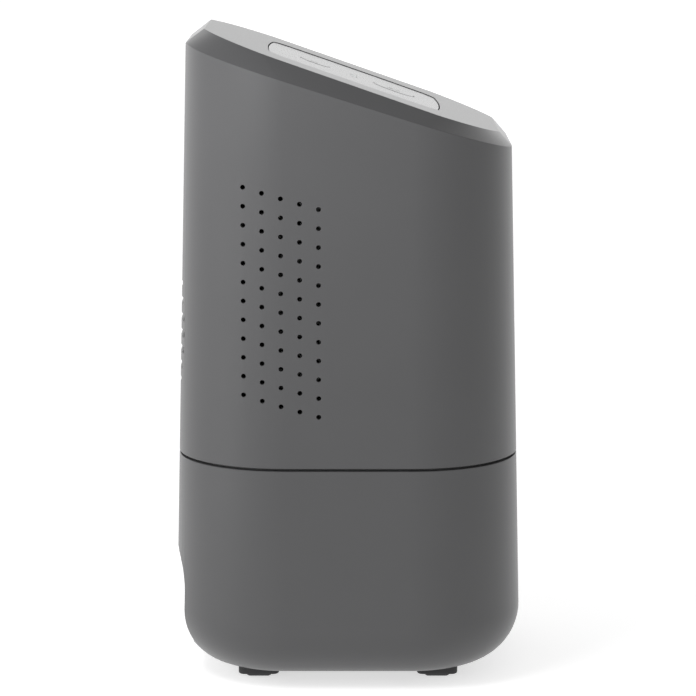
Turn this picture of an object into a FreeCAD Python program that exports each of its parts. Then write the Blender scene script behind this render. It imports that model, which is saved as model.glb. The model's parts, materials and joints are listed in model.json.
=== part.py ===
import FreeCAD
import Part
import math
import os
from FreeCAD import Vector

# A compact thermoelectric dehumidifier. Millimetres, +Z up.
# Origin: middle of the footprint, on the surface that the feet stand on.
# The top slopes down from the rear (+Y) to the front (-Y). The water tank pulls out to the rear.

# ---- housing
SEAM_Z = 90.0               # middle of the reveal between base and upper housing
SEAM_GAP = 1.0              # height of that reveal
SEAM_HALF = 67.7            # half width of the outer skin at the seam
DRAFT = 0.0233              # how far the walls lean in for each millimetre of height
CORNER_R = 43.0             # plan corner radius of the skin
BOTTOM_Z = 4.4              # underside of the base
BOTTOM_R = 23.5             # rounding from the underside to the walls
WALL = 2.4
TOP_Z = 239.1               # height of the sloped top over the origin
TOP_SLOPE = 0.348           # rise of the top for each millimetre towards the rear
TOP_HALF_X = 56.0           # plan size of the flat top, inside its bevel
TOP_HALF_Y = 57.9
TOP_MID_Y = -1.6
TOP_CORNER_R = 25.0         # where its corner arcs start, and their own larger radius
TOP_CORNER_ARC = 40.0
BEVEL_SHARE = 0.6           # how much of a wall's thickness the inside of the bevel steps in
SHOULDER_Z = 232.85         # height over the origin of the plane where the bevel meets the walls
SHOULDER_SLOPE = 0.314
TOP_ANGLE = math.degrees(math.atan(TOP_SLOPE))
LIP_DEPTH = 6.0             # how far the upper housing's tongue reaches into the base
LIP_GAP = 0.3
LIP_WALL = 1.5

# ---- side vents and rear grille
VENT_R = 0.95
VENT_COLUMNS = 5
VENT_ROWS = 12
VENT_Y = 40.5               # rearmost column
VENT_Z = 199.9              # its highest hole
VENT_PITCH_Y = 7.29
VENT_PITCH_Z = 7.34
VENT_DROP = 2.06            # each column starts this much lower than the one behind it
GRILLE_SLOTS = 11
GRILLE_PITCH = 6.4
GRILLE_SLOT_R = 1.5
GRILLE_R = 36.0

# ---- control panel, in the plane of the top
PANEL_Y = -2.45             # plan position of its middle
PANEL_HALF_X = 34.15
PANEL_HALF_Y = 36.15
PANEL_R = 7.0               # corners between its bowed sides
PANEL_SIDE_R = 300.0        # radius of those sides
PANEL_SUNK = 0.3            # how far its face lies below the top
PANEL_T = 2.2
PANEL_GAP = 0.4
LEDGE = 3.0
LEDGE_T = 1.6
KEY_GAP = 0.3
KEY_TRAVEL = 0.8
KEY_PROUD = 0.1             # how far a key stands above the panel
KEY_FLANGE = 1.1            # how far its flange reaches under the panel, and the flange's thickness
KEY_FLANGE_T = 1.0
KEY_UNDER = 0.4             # free height between flange and panel
PLUNGER_R = 1.8
PLUNGER_L = 1.2
POWER_KEY_R = 8.5
POWER_KEY_Y = -17.0
MODE_KEY_R = 6.0
MODE_KEY_Y = 16.5
LENS_HALF_X = 7.0
LENS_HALF_Y = 1.2
BOARD_T = 1.6
KEY_BOARD_DROP = 7.6        # from the underside of the panel to the top of its board
KEY_BOARD_HALF_X = 29.0
KEY_BOARD_HALF_Y = 31.0
KEY_BOARD_R = 4.0
BOARD_POST_R = 2.6
BOARD_POSTS = ((-24.0, -27.0), (24.0, -27.0), (-24.0, 27.0), (24.0, 27.0))
SMALL_SCREW_R = 1.25
SMALL_HEAD_R = 2.3
SMALL_HEAD_T = 1.5
SMALL_SCREW_L = 6.0
SWITCH_HALF = 3.0
SWITCH_STEM_R = 1.7
SWITCH_STEM_L = 0.4
LED_XS = (-4.5, 0.0, 4.5)
LED_T = 1.4

# ---- tank bay and tank
MOUTH_HALF = 42.4           # arched mouth in the rear of the base
MOUTH_TOP = 51.5
MOUTH_R = 16.0
MOUTH_Y = 40.0              # the mouth is cut from here to the rear
RAIL_W = 1.6                # low rails that guide the tank, and the stop at its front
RAIL_H = 8.0
RAIL_END_Y = 50.0
STOP_HALF = 20.0
STOP_H = 12.0
FLOOR_Z = BOTTOM_Z + WALL
TANK_GAP = 0.4
TANK_FRONT_Y = -46.0
TANK_FACE_Y = 62.0
TANK_CORNER_R = 12.0
TANK_TOP = 42.5
TANK_WALL = 1.8
TANK_EDGE_R = 2.4
TANK_FACE_T = 2.4
LID_T = 2.0
LID_HALF = 39.0
LID_LIFT = 0.3              # the lid lies this far above the rim
LID_CORNER_R = 6.0
LID_SKIRT = 3.0
SKIRT_T = 1.4
FILL_R = 9.0
FILL_SLANT = 3.0
PULL_R = 5.0
PULL_Y = 40.0
SPOUT_Y = -8.0
SPOUT_R = 4.8
SPOUT_BORE = 3.4
GRIP_HALF = 24.0
GRIP_LOW = 20.0
GRIP_HIGH = 36.0
GRIP_DEPTH = 15.0
GRIP_EDGE_R = 3.0
FLOAT_Y = -32.0
FLOAT_R = 8.5
FLOAT_POST_R = 3.0
FLOAT_T = 10.0
FLOAT_CLEAR = 0.6           # under the float when the tank is empty
MAGNET_R = 6.0
MAGNET_T = 2.0
MAGNET_SEAT = 7.5

# ---- feet and long screws
FOOT_AT = 35.8
FOOT_HALF = 8.1
FOOT_CORNER_R = 2.6
FOOT_STEP_Z = 1.5           # lower edge of the collar, over the pad
FOOT_EDGE_R = 0.7
PAD_HALF = 4.7
PAD_SPREAD = 1.2            # how much wider the pad is where it meets the collar
PAD_CORNER_R = 1.2
POST_X = 49.5
POST_Y = 22.0
POST_R = 4.4
SCREW_R = 1.5
SCREW_HEAD_R = 2.8
SCREW_HEAD_T = 2.0
SCREW_CLEAR = 0.06
SCREW_FREE = 0.2            # clearance where a shank passes through
CROSS_HALF = 0.35           # cross recess in a screw head
CROSS_DEPTH = 1.1
HOUSING_SCREW_L = 22.0
TOWER_L = 50.0              # screw towers of the upper housing
RIB_T = 2.0
RIB_Z = 4.0                 # the towers' ribs start this far over the seam

# ---- machine compartment
DECK_Z = 54.0
DECK_T = 2.4
DECK_GAP = 0.4
GUIDE_XS = (31.0, 37.0)
GUIDE_YS = (-53.0, -46.0)
GUIDE_TOP = 84.0
FAN_Z = 138.5
FAN_HALF = 40.0
FAN_FRONT = 33.0
FAN_REAR = 58.0
FAN_BORE = 37.8
FAN_HOLE_AT = 35.75
HUB_R = 16.0
BLADES = 7
SHAFT_R = 1.5
HOT_Y = 12.6                # front face of the hot sink's base plate
HOT_BASE_T = 5.0
HOT_FIN = 15.0
HOT_HALF = 40.0
HOT_FINS = 17
COLD_HALF = 30.0
COLD_BASE_T = 4.0
COLD_FIN = 20.0
PELTIER_HALF = 20.0
PELTIER_T = 3.8
FIN_T = 1.2
SHROUD_X = 46.0
SHROUD_WALL = 1.6
SHROUD_FRONT = -18.0
SHROUD_TOP = 181.0
PARTITION_HALF = 57.0
PARTITION_TOP = 202.0
PARTITION_T = 3.4
SHROUD_GAP = 0.4            # between the shroud and the fan
BOSS_R = 3.4
BOSS_L = 4.0
TRAY_Z = 84.0
TRAY_T = 10.0
TRAY_YS = (-21.0, 8.4)
TRAY_WALL = 1.6
TRAY_CORNER_R = 4.0
TRAY_LEG_R = 2.6
TRAY_LEGS = ((-38.0, -16.0), (-38.0, 3.0), (38.0, -16.0), (38.0, 3.0))
FUNNEL_R = 7.0
SPOUT_Z = 48.1
MAIN_BOARD_Y = -50.0
MAIN_BOARD_HALF = 34.0
MAIN_BOARD_TOP = 118.0
PARTS_Y = MAIN_BOARD_Y + BOARD_T        # face of the main board that carries its parts
LEVEL_BOARD_Y = -56.6
LEVEL_BOARD_HALF = 9.0
LEVEL_BOARD_Z = 24.0
REED_R = 1.4
REED_L = 14.0
REED_Z = 36.0
LEAD_R = 0.9
CABLE_R = 0.7
WIRE_WAY_X = 20.0           # where wires pass the partition, either side of the middle
WIRE_WAY_Z = 60.0
COOLER_LEAD_Y = 10.7
LEAD_ZS = (FAN_Z - 15.0, FAN_Z - 10.0)  # where the cooler's two wires leave it
JACK_Z = 70.0
JACK_R = 4.0
JACK_BORE = 2.85
JACK_PIN_R = 1.0
JACK_HALF = 4.6
JACK_YS = (50.0, 56.0)      # rear block of the inlet
JACK_BOTTOM_Y = 57.0        # bottom of its bore


# ---------------------------------------------------------------- building blocks
def box(x0, x1, y0, y1, z0, z1):
    return Part.makeBox(x1 - x0, y1 - y0, z1 - z0, Vector(x0, y0, z0))


def rod(radius, x, y, z, length, direction=(0, 0, 1)):
    return Part.makeCylinder(radius, length, Vector(x, y, z), Vector(*direction))


def rounded_wire(half_x, half_y, radius, z=0.0, y_mid=0.0, arc_r=None):
    """Closed rounded rectangle in a level plane, as four sides and four arcs.

    The arcs start a radius short of the corner. Larger arcs (arc_r) meet the sides in a blunt edge.
    """
    arc_r = arc_r or radius
    half_chord = radius * math.sqrt(0.5)
    half_turn = math.degrees(math.asin(half_chord / arc_r))
    shift = (math.sqrt(arc_r ** 2 - half_chord ** 2) - half_chord) * math.sqrt(0.5)
    in_x = half_x - radius - shift
    in_y = half_y - radius - shift
    edges = []
    for quarter, (sx, sy) in enumerate(((1, 1), (-1, 1), (-1, -1), (1, -1))):
        centre = Vector(sx * in_x, y_mid + sy * in_y, z)
        middle = 90.0 * quarter + 45.0
        edges.append(Part.makeCircle(arc_r, centre, Vector(0, 0, 1), middle - half_turn, middle + half_turn))
    sides = []
    for first, second in zip(edges, edges[1:] + edges[:1]):
        sides.append(Part.makeLine(first.Vertexes[-1].Point, second.Vertexes[0].Point))
    ordered = []
    for arc, side in zip(edges, sides):
        ordered += [arc, side]
    return Part.Wire(ordered)


def bowed_plate(half_x, half_y, radius, side_r, z, height):
    """Plate with four slightly bowed sides and four corner arcs, every joint tangent."""
    reach = side_r - radius
    side_x = half_x - side_r
    side_y = half_y - side_r
    apart = math.hypot(side_x, side_y)
    step = math.sqrt(reach ** 2 - (apart / 2) ** 2)
    corner_x = side_x / 2 - side_y / apart * step
    corner_y = side_y / 2 - side_x / apart * step
    first = math.degrees(math.atan2(corner_y, corner_x - side_x))
    last = math.degrees(math.atan2(corner_y - side_y, corner_x))
    arcs = []
    for sx, sy, x, y, start in ((1, 1, side_x, 0, -first), (-1, 1, 0, side_y, last),
                                (-1, -1, -side_x, 0, 180 - first), (1, -1, 0, -side_y, 180 + last)):
        side_end = start + 2 * (first if y == 0 else 90 - last)
        arcs.append(Part.makeCircle(side_r, Vector(x, y, z), Vector(0, 0, 1), start, side_end))
        corner = Vector(sx * corner_x, sy * corner_y, z)
        arcs.append(Part.makeCircle(radius, corner, Vector(0, 0, 1), side_end, side_end + last - first))
    return Part.Face(Part.Wire(arcs)).extrude(Vector(0, 0, height))


def rounded_plate(half_x, half_y, radius, z, height, y_mid=0.0):
    return Part.Face(rounded_wire(half_x, half_y, radius, z, y_mid)).extrude(Vector(0, 0, height))


def on_top(shape):
    """Move a shape drawn about the origin to the middle of the panel, lying in the sloped top."""
    placed = shape.copy()
    placed.rotate(Vector(0, 0, 0), Vector(1, 0, 0), TOP_ANGLE)
    placed.translate(Vector(0, PANEL_Y, TOP_Z + TOP_SLOPE * PANEL_Y))
    return placed


def fuse(shapes):
    return shapes[0].multiFuse(shapes[1:]).removeSplitter()


def cut(shape, tools):
    return shape.cut(list(tools)).removeSplitter()


def save(node, *solids):
    """Write one node; a node of several equal pieces is a group of separate solids."""
    shape = solids[0] if len(solids) == 1 else Part.makeCompound(list(solids))
    for solid in shape.Solids:
        assert solid.isValid() and solid.Volume > 0, node
    shape.exportStep(os.path.join("parts", node + ".step"))


def screw(length, radius=SCREW_R, head_r=SCREW_HEAD_R, head_t=SCREW_HEAD_T):
    """Pan-head screw standing on its head at the origin, with a cross recess."""
    head = rod(head_r, 0, 0, 0, head_t)
    head = head.makeFillet(0.6, [e for e in head.Edges if e.CenterOfMass.z < 0.1 and len(e.Vertexes) == 1])
    shape = head.fuse(rod(radius, 0, 0, head_t, length))
    arm = 0.62 * head_r
    shape = shape.cut(box(-arm, arm, -CROSS_HALF, CROSS_HALF, -0.1, CROSS_DEPTH))
    return shape.cut(box(-CROSS_HALF, CROSS_HALF, -arm, arm, -0.1, CROSS_DEPTH)).removeSplitter()


def aimed(shape, place, direction):
    """Turn a shape drawn along +Z to a direction and move it to a place."""
    turned = shape.copy()
    turn = FreeCAD.Rotation(Vector(0, 0, 1), Vector(*direction))
    turned.Placement = FreeCAD.Placement(Vector(*place), turn)
    return turned


def lead(points, radius):
    """Insulated wire: straight runs joined by tangent arcs."""
    route = [Vector(*p) for p in points]
    edges = []
    start = route[0]
    for before, corner, after in zip(route, route[1:], route[2:]):
        run_in = (corner - before).normalize()
        run_out = (after - corner).normalize()
        half_turn = run_in.getAngle(run_out) / 2.0
        set_back = 0.45 * min((corner - before).Length, (after - corner).Length)
        bend = set_back / math.tan(half_turn)
        first = corner - run_in * set_back
        last = corner + run_out * set_back
        inward = (run_out - run_in).normalize()
        middle = corner + inward * (bend / math.cos(half_turn) - bend)
        edges.append(Part.makeLine(start, first))
        edges.append(Part.Arc(first, middle, last).toShape())
        start = last
    edges.append(Part.makeLine(start, route[-1]))
    path = Part.Wire(edges)
    profile = Part.Wire(Part.makeCircle(radius, route[0], route[1] - route[0]))
    return path.makePipeShell([profile], True, True)


# ---------------------------------------------------------------- housing
def half_at(z):
    return SEAM_HALF - DRAFT * (z - SEAM_Z)


def tapered_block(inset, z0, z1):
    """Drafted walls of the skin: flat sides and corners that are quarters of a cone."""
    centre = SEAM_HALF - CORNER_R
    half0 = half_at(z0) - inset
    half1 = half_at(z1) - inset
    ends = [rounded_wire(half0, half0, half0 - centre, z0), rounded_wire(half1, half1, half1 - centre, z1)]
    faces = [Part.Face(wire) for wire in ends]
    for turn in range(4):
        cone = Part.makeCone(half0 - centre, half1 - centre, z1 - z0, Vector(centre, centre, z0),
                             Vector(0, 0, 1), 90.0)
        corner = [f for f in cone.Faces if isinstance(f.Surface, Part.Cone)][0]
        side = Part.Face(Part.makePolygon([Vector(half0, -centre, z0), Vector(half0, centre, z0),
                                           Vector(half1, centre, z1), Vector(half1, -centre, z1),
                                           Vector(half0, -centre, z0)]))
        for face in (corner, side):
            face.rotate(Vector(0, 0, 0), Vector(0, 0, 1), 90.0 * turn)
            faces.append(face)
    shell = Part.makeShell(faces)
    shell.sewShape()
    solid = Part.Solid(shell)
    if solid.Volume < 0:
        solid.reverse()
    return solid


def envelope(inset):
    """Solid inside the outer skin, pulled in by inset on every side."""
    low_z = BOTTOM_Z + inset
    walls = tapered_block(inset, low_z, TOP_Z + 40.0)
    foot_edges = [e for e in walls.Edges if e.BoundBox.ZMax < low_z + 0.01]
    walls = walls.makeFillet(BOTTOM_R - inset, foot_edges)
    normal = Vector(0, -SHOULDER_SLOPE, 1)
    shoulder_z = SHOULDER_Z - 0.65 * inset
    rim = walls.slice(normal.normalize(), shoulder_z * normal.z)[0]
    rise = TOP_Z - inset / math.cos(math.radians(TOP_ANGLE))
    shear = FreeCAD.Matrix(1, 0, 0, 0, 0, 1, 0, 0, 0, TOP_SLOPE, 1, rise)
    step = BEVEL_SHARE * inset
    brow = rounded_wire(TOP_HALF_X - step, TOP_HALF_Y - step, TOP_CORNER_R - step, 0.0, TOP_MID_Y,
                        TOP_CORNER_ARC - step)
    brow = brow.transformGeometry(shear)
    bevel = Part.makeLoft([rim, brow], True, True)
    size = 4 * SEAM_HALF
    above = Part.makeBox(size, size, size, Vector(-size / 2, -size / 2, 0))
    above.rotate(Vector(0, 0, 0), Vector(1, 0, 0), math.degrees(math.atan(SHOULDER_SLOPE)))
    above.translate(Vector(0, 0, shoulder_z))
    return walls.cut(above).fuse(bevel)


def level_band(shape, z0, z1):
    reach = 2 * SEAM_HALF
    return shape.common(box(-reach, reach, -reach, reach, z0, z1))


def arch(half, top, radius, bottom, y0, y1):
    """Arched prism along Y: square at the foot, two round top corners."""
    spring = top - radius
    left = Vector(-half, y0, bottom)
    right = Vector(half, y0, bottom)
    centre_l = Vector(radius - half, y0, spring)
    centre_r = Vector(half - radius, y0, spring)
    diagonal = radius * math.sqrt(0.5)
    edges = [
        Part.makeLine(left, right),
        Part.makeLine(right, Vector(half, y0, spring)),
        Part.Arc(Vector(half, y0, spring), centre_r + Vector(diagonal, 0, diagonal),
                 centre_r + Vector(0, 0, radius)).toShape(),
        Part.makeLine(centre_r + Vector(0, 0, radius), centre_l + Vector(0, 0, radius)),
        Part.Arc(centre_l + Vector(0, 0, radius), centre_l + Vector(-diagonal, 0, diagonal),
                 Vector(-half, y0, spring)).toShape(),
        Part.makeLine(Vector(-half, y0, spring), left),
    ]
    return Part.Face(Part.Wire(edges)).extrude(Vector(0, y1 - y0, 0))


def post_places():
    return [(sx * POST_X, sy * POST_Y) for sx in (-1, 1) for sy in (-1, 1)]


def vent_holes():
    reach = 2 * SEAM_HALF
    holes = []
    for column in range(VENT_COLUMNS):
        for row in range(VENT_ROWS):
            y = VENT_Y - VENT_PITCH_Y * column
            z = VENT_Z - VENT_PITCH_Z * row - VENT_DROP * column
            holes.append(rod(VENT_R, -reach / 2, y, z, reach, (1, 0, 0)))
    return holes


def grille_slots():
    """Level slots behind the fan, cut to a round outline."""
    y0 = FAN_REAR + 1.0
    depth = SEAM_HALF - y0 + 5.0
    slots = []
    for row in range(GRILLE_SLOTS):
        z = FAN_Z + GRILLE_PITCH * (row - (GRILLE_SLOTS - 1) / 2)
        half = math.sqrt(GRILLE_R ** 2 - (z - FAN_Z) ** 2)
        slot = box(-half, half, y0, y0 + depth, z - GRILLE_SLOT_R, z + GRILLE_SLOT_R)
        ends = [rod(GRILLE_SLOT_R, s * half, y0, z, depth, (0, 1, 0)) for s in (-1, 1)]
        slots.append(fuse([slot] + ends))
    return slots


def panel_outline(grow, z, height):
    """Plate to the outline of the control panel, grown or shrunk all round."""
    return on_top(bowed_plate(PANEL_HALF_X + grow, PANEL_HALF_Y + grow, PANEL_R + grow, PANEL_SIDE_R + grow,
                              z, height))


def upper_housing(skin, core):
    low = SEAM_Z + SEAM_GAP / 2
    shell = level_band(skin, low, 2 * TOP_Z).cut(core)
    well_depth = PANEL_SUNK + PANEL_T
    ledge_depth = well_depth + LEDGE_T
    well = panel_outline(PANEL_GAP, -well_depth, 20.0)
    ledge = panel_outline(2.0, -ledge_depth, ledge_depth - 1.0)
    window = panel_outline(-LEDGE, -20.0, 40.0)
    tongue = level_band(envelope(WALL + LIP_GAP), low - LIP_DEPTH, low + 0.5)
    collar = level_band(envelope(WALL - 0.2), low, low + 3.0)
    bore = envelope(WALL + LIP_GAP + LIP_WALL)
    lip = tongue.fuse(collar).cut(bore)
    posts = []
    for x, y in post_places():
        side = math.copysign(1, x)
        rib_x = sorted((x, side * (half_at(low) - 1.0)))
        posts.append(rod(POST_R, x, y, DECK_Z + DECK_T, TOWER_L))
        rib_top = DECK_Z + DECK_T + TOWER_L
        posts.append(box(rib_x[0], rib_x[1], y - RIB_T / 2, y + RIB_T / 2, low + RIB_Z, rib_top))
    pilots = [rod(SCREW_R + SCREW_CLEAR, x, y, DECK_Z, HOUSING_SCREW_L) for x, y in post_places()]
    body = fuse([shell, ledge, lip] + posts)
    body = body.cut(well).cut(window)
    return cut(body, pilots + vent_holes() + grille_slots())


def base_housing(skin, core):
    high = SEAM_Z - SEAM_GAP / 2
    shell = level_band(skin, 0.0, high).cut(core)
    posts = [rod(POST_R, x, y, 0.0, DECK_Z) for x, y in post_places()]
    rail_x = MOUTH_HALF - 0.2
    rails = [box(min(s * rail_x, s * (rail_x + RAIL_W)), max(s * rail_x, s * (rail_x + RAIL_W)), TANK_FRONT_Y,
                 RAIL_END_Y, FLOOR_Z - 1.0, FLOOR_Z + RAIL_H) for s in (-1, 1)]
    stop = box(-STOP_HALF, STOP_HALF, TANK_FRONT_Y - 3.0, TANK_FRONT_Y - 1.0, FLOOR_Z - 1.0, FLOOR_Z + STOP_H)
    added = fuse(posts + rails + [stop]).common(skin)
    body = shell.fuse(added)
    wells = [rod(SCREW_HEAD_R + 0.6, x, y, 0.0, DECK_Z - 4.0) for x, y in post_places()]
    pilots = [rod(SCREW_R + SCREW_FREE, x, y, 0.0, DECK_Z + 1.0) for x, y in post_places()]
    mouth = arch(MOUTH_HALF, MOUTH_TOP, MOUTH_R, FLOOR_Z, MOUTH_Y, SEAM_HALF + 5.0)
    socket = rod(JACK_R + 0.2, 0, SEAM_HALF - 8.0, JACK_Z, 12.0, (0, 1, 0))
    return cut(body, wells + pilots + [mouth, socket])


def feet(skin):
    """Square rubber feet: a wide collar against the base, and a smaller pad that meets the floor."""
    made = []
    for sx in (-1, 1):
        for sy in (-1, 1):
            collar = rounded_plate(FOOT_HALF, FOOT_HALF, FOOT_CORNER_R, FOOT_STEP_Z, BOTTOM_Z)
            rim = [e for e in collar.Edges if e.BoundBox.ZMax < FOOT_STEP_Z + 0.01]
            collar = collar.makeFillet(FOOT_EDGE_R, rim)
            ends = [rounded_wire(half, half, PAD_CORNER_R + half - PAD_HALF, z)
                    for half, z in ((PAD_HALF, 0.0), (PAD_HALF + PAD_SPREAD, FOOT_STEP_Z + 0.2))]
            foot = fuse([collar, Part.makeLoft(ends, True, True)])
            foot.translate(Vector(sx * FOOT_AT, sy * FOOT_AT, 0))
            made.append(foot.cut(skin))
    return made


def housing_screws():
    place_z = DECK_Z - 4.0 - SCREW_HEAD_T
    return [aimed(screw(HOUSING_SCREW_L), (x, y, place_z), (0, 0, 1)) for x, y in post_places()]


# ---------------------------------------------------------------- control panel
def key_holes():
    return ((POWER_KEY_R, POWER_KEY_Y), (MODE_KEY_R, MODE_KEY_Y))


def board_top():
    return -PANEL_SUNK - PANEL_T - KEY_BOARD_DROP


def key_under():
    return -PANEL_SUNK - PANEL_T - KEY_UNDER


def control_panel():
    plate = bowed_plate(PANEL_HALF_X, PANEL_HALF_Y, PANEL_R, PANEL_SIDE_R, -PANEL_SUNK - PANEL_T, PANEL_T)
    top_edges = [e for e in plate.Edges if e.BoundBox.ZMin > -PANEL_SUNK - 0.01]
    plate = plate.makeFillet(0.3, top_edges)
    posts = [rod(BOARD_POST_R, x, y, board_top(), -board_top() - PANEL_SUNK - 1.0) for x, y in BOARD_POSTS]
    holes = [rod(r + KEY_GAP, 0, y, -10.0, 12.0) for r, y in key_holes()]
    slot = box(-LENS_HALF_X, LENS_HALF_X, -LENS_HALF_Y, LENS_HALF_Y, -10.0, 2.0)
    pilots = [rod(SMALL_SCREW_R + SCREW_CLEAR, x, y, board_top() - 1.0, SMALL_SCREW_L + 0.5)
              for x, y in BOARD_POSTS]
    return on_top(cut(fuse([plate] + posts), holes + [slot] + pilots))


def key(radius, y):
    """Push key: cap just proud of the panel, a flange that keeps it in, and a plunger over its switch."""
    low = key_under() - KEY_FLANGE_T
    cap = rod(radius, 0, y, low, KEY_PROUD - PANEL_SUNK - low)
    cap = cap.makeFillet(0.4, [e for e in cap.Edges if e.BoundBox.ZMin > low + 1.0 and len(e.Vertexes) == 1])
    flange = rod(radius + KEY_FLANGE, 0, y, low, KEY_FLANGE_T)
    plunger = rod(PLUNGER_R, 0, y, low - PLUNGER_L, PLUNGER_L + 0.2)
    return on_top(fuse([cap, flange, plunger]))


def switch(y):
    stem_top = key_under() - KEY_FLANGE_T - PLUNGER_L - KEY_TRAVEL - 0.3
    low = board_top()
    half = SWITCH_HALF
    body = box(-half, half, y - half, y + half, low, stem_top - SWITCH_STEM_L)
    return on_top(body.fuse(rod(SWITCH_STEM_R, 0, y, stem_top - SWITCH_STEM_L - 0.1, SWITCH_STEM_L + 0.1)))


def indicator_lens():
    low = -PANEL_SUNK - PANEL_T - 3.0
    half_x = LENS_HALF_X - 0.05
    half_y = LENS_HALF_Y - 0.05
    bar = box(-half_x, half_x, -half_y, half_y, low, -PANEL_SUNK)
    flange = box(-half_x - 1.2, half_x + 1.2, -half_y - 1.0, half_y + 1.0, low + 1.2, -PANEL_SUNK - PANEL_T)
    return on_top(bar.fuse(flange).removeSplitter())


def status_leds():
    low = board_top()
    return [on_top(box(x - 1.0, x + 1.0, -0.8, 0.8, low, low + LED_T)) for x in LED_XS]


def key_board():
    plate = rounded_plate(KEY_BOARD_HALF_X, KEY_BOARD_HALF_Y, KEY_BOARD_R, board_top() - BOARD_T, BOARD_T)
    holes = [rod(SMALL_SCREW_R + 0.25, x, y, board_top() - 3.0, 5.0) for x, y in BOARD_POSTS]
    return on_top(cut(plate, holes))


def key_board_screws():
    low = board_top() - BOARD_T - SMALL_HEAD_T
    one = screw(SMALL_SCREW_L, SMALL_SCREW_R, SMALL_HEAD_R, SMALL_HEAD_T)
    return [on_top(aimed(one, (x, y, low), (0, 0, 1))) for x, y in BOARD_POSTS]


# ---------------------------------------------------------------- tank
def tank_section(inset, bottom, top, y0, y1):
    """Length of the tank's arched section, cut off level at the rim."""
    tunnel = arch(MOUTH_HALF - inset, MOUTH_TOP - inset, MOUTH_R - inset, bottom, y0, y1)
    return tunnel.common(box(-MOUTH_HALF, MOUTH_HALF, y0, y1, bottom, top))


def tank_hull(inset, low, height, front_y):
    """Plan outline of the tank: round front corners, and a square rear that the skin trims."""
    overrun = TANK_CORNER_R / 2
    half_y = (TANK_FACE_Y - front_y) / 2 + overrun
    return rounded_plate(MOUTH_HALF, half_y, TANK_CORNER_R - inset, low, height, front_y + half_y)


def water_tank(skin):
    low = FLOOR_Z + TANK_GAP
    floor = low + TANK_WALL
    body = tank_section(TANK_GAP, low, TANK_TOP, TANK_FRONT_Y, TANK_FACE_Y)
    body = body.common(tank_hull(0.0, low, TANK_TOP - low, TANK_FRONT_Y))
    front = [e for e in body.Edges if e.BoundBox.YMax < TANK_FRONT_Y + TANK_CORNER_R + 0.01
             and e.BoundBox.ZMax < low + 0.01]
    body = body.makeFillet(TANK_EDGE_R, front)
    face = arch(MOUTH_HALF - TANK_GAP, MOUTH_TOP - TANK_GAP, MOUTH_R - TANK_GAP, low,
                TANK_FACE_Y - TANK_FACE_T, TANK_FACE_Y)
    inner_front = TANK_FRONT_Y + TANK_WALL
    inside = tank_section(TANK_GAP + TANK_WALL, floor, 2 * TANK_TOP, inner_front, TANK_FACE_Y - TANK_FACE_T)
    inside = inside.common(tank_hull(TANK_WALL, low, 2 * TANK_TOP, inner_front))
    inside = skin_inside(inside, skin)
    shell = body.fuse(face).common(skin).cut(inside)
    wall = TANK_WALL
    grip_wall = box(-GRIP_HALF - wall, GRIP_HALF + wall, TANK_FACE_Y - GRIP_DEPTH - wall, TANK_FACE_Y - 1.0,
                    GRIP_LOW - wall, GRIP_HIGH + wall)
    post = rod(FLOAT_POST_R, 0, FLOAT_Y, low + 1.0, TANK_TOP - low - 5.0)
    return cut(fuse([shell, grip_wall, post]), [rounded_pocket()])


def skin_inside(inside, skin):
    """Keep the tank's hollow a wall's thickness inside the rounded foot of the skin."""
    shifted = skin.copy()
    shifted.translate(Vector(0, -TANK_WALL - 1.0, TANK_WALL))
    return inside.common(shifted)


def rounded_pocket():
    height = GRIP_HIGH - GRIP_LOW
    block = rounded_plate(GRIP_HALF, height / 2, height / 2 - 1.0, 0.0, GRIP_DEPTH + 1.0)
    block = block.makeFillet(GRIP_EDGE_R, [e for e in block.Edges if e.BoundBox.ZMax < 0.01])
    block.rotate(Vector(0, 0, 0), Vector(1, 0, 0), -90)
    block.translate(Vector(0, TANK_FACE_Y - GRIP_DEPTH, (GRIP_HIGH + GRIP_LOW) / 2))
    return block


def tank_lid():
    rear = TANK_FACE_Y - TANK_FACE_T
    y_mid = (TANK_FRONT_Y + rear) / 2
    half_y = (rear - TANK_FRONT_Y) / 2 - 0.5
    skirt_y = half_y - 2.4
    low = TANK_TOP + LID_LIFT
    plate = rounded_plate(LID_HALF, half_y, LID_CORNER_R, low, LID_T, y_mid)
    plate = plate.makeFillet(0.8, [e for e in plate.Edges if e.BoundBox.ZMin > TANK_TOP + LID_T])
    skirt = rounded_plate(LID_HALF - 1.0, skirt_y, LID_CORNER_R - 1.0,
                          TANK_TOP - LID_SKIRT, LID_SKIRT + 0.4, y_mid)
    hollow = rounded_plate(LID_HALF - 1.0 - SKIRT_T, skirt_y - SKIRT_T, LID_CORNER_R - 2.0,
                           TANK_TOP - LID_SKIRT - 1.0, LID_SKIRT + 1.2, y_mid)
    body = fuse([plate, skirt.cut(hollow)])
    funnel = Part.makeCone(FILL_R - FILL_SLANT, FILL_R, LID_T + 0.2, Vector(0, SPOUT_Y, low - 0.1))
    pull = rod(PULL_R, 0, PULL_Y, low + LID_T - 0.9, 3.0)
    return cut(body, [funnel, pull])


def float_low():
    return FLOOR_Z + TANK_GAP + TANK_WALL + FLOAT_CLEAR


def tank_float():
    body = rod(FLOAT_R, 0, FLOAT_Y, float_low(), FLOAT_T)
    body = body.makeFillet(1.5, [e for e in body.Edges if len(e.Vertexes) == 1])
    seat = rod(MAGNET_R + 0.05, 0, FLOAT_Y, float_low() + MAGNET_SEAT, 4.0)
    return cut(body, [rod(FLOAT_POST_R + 0.35, 0, FLOAT_Y, 0, 60), seat])


def float_magnet():
    ring = rod(MAGNET_R, 0, FLOAT_Y, float_low() + MAGNET_SEAT, MAGNET_T)
    return ring.cut(rod(FLOAT_POST_R + 0.6, 0, FLOAT_Y, 0, 60))


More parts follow.
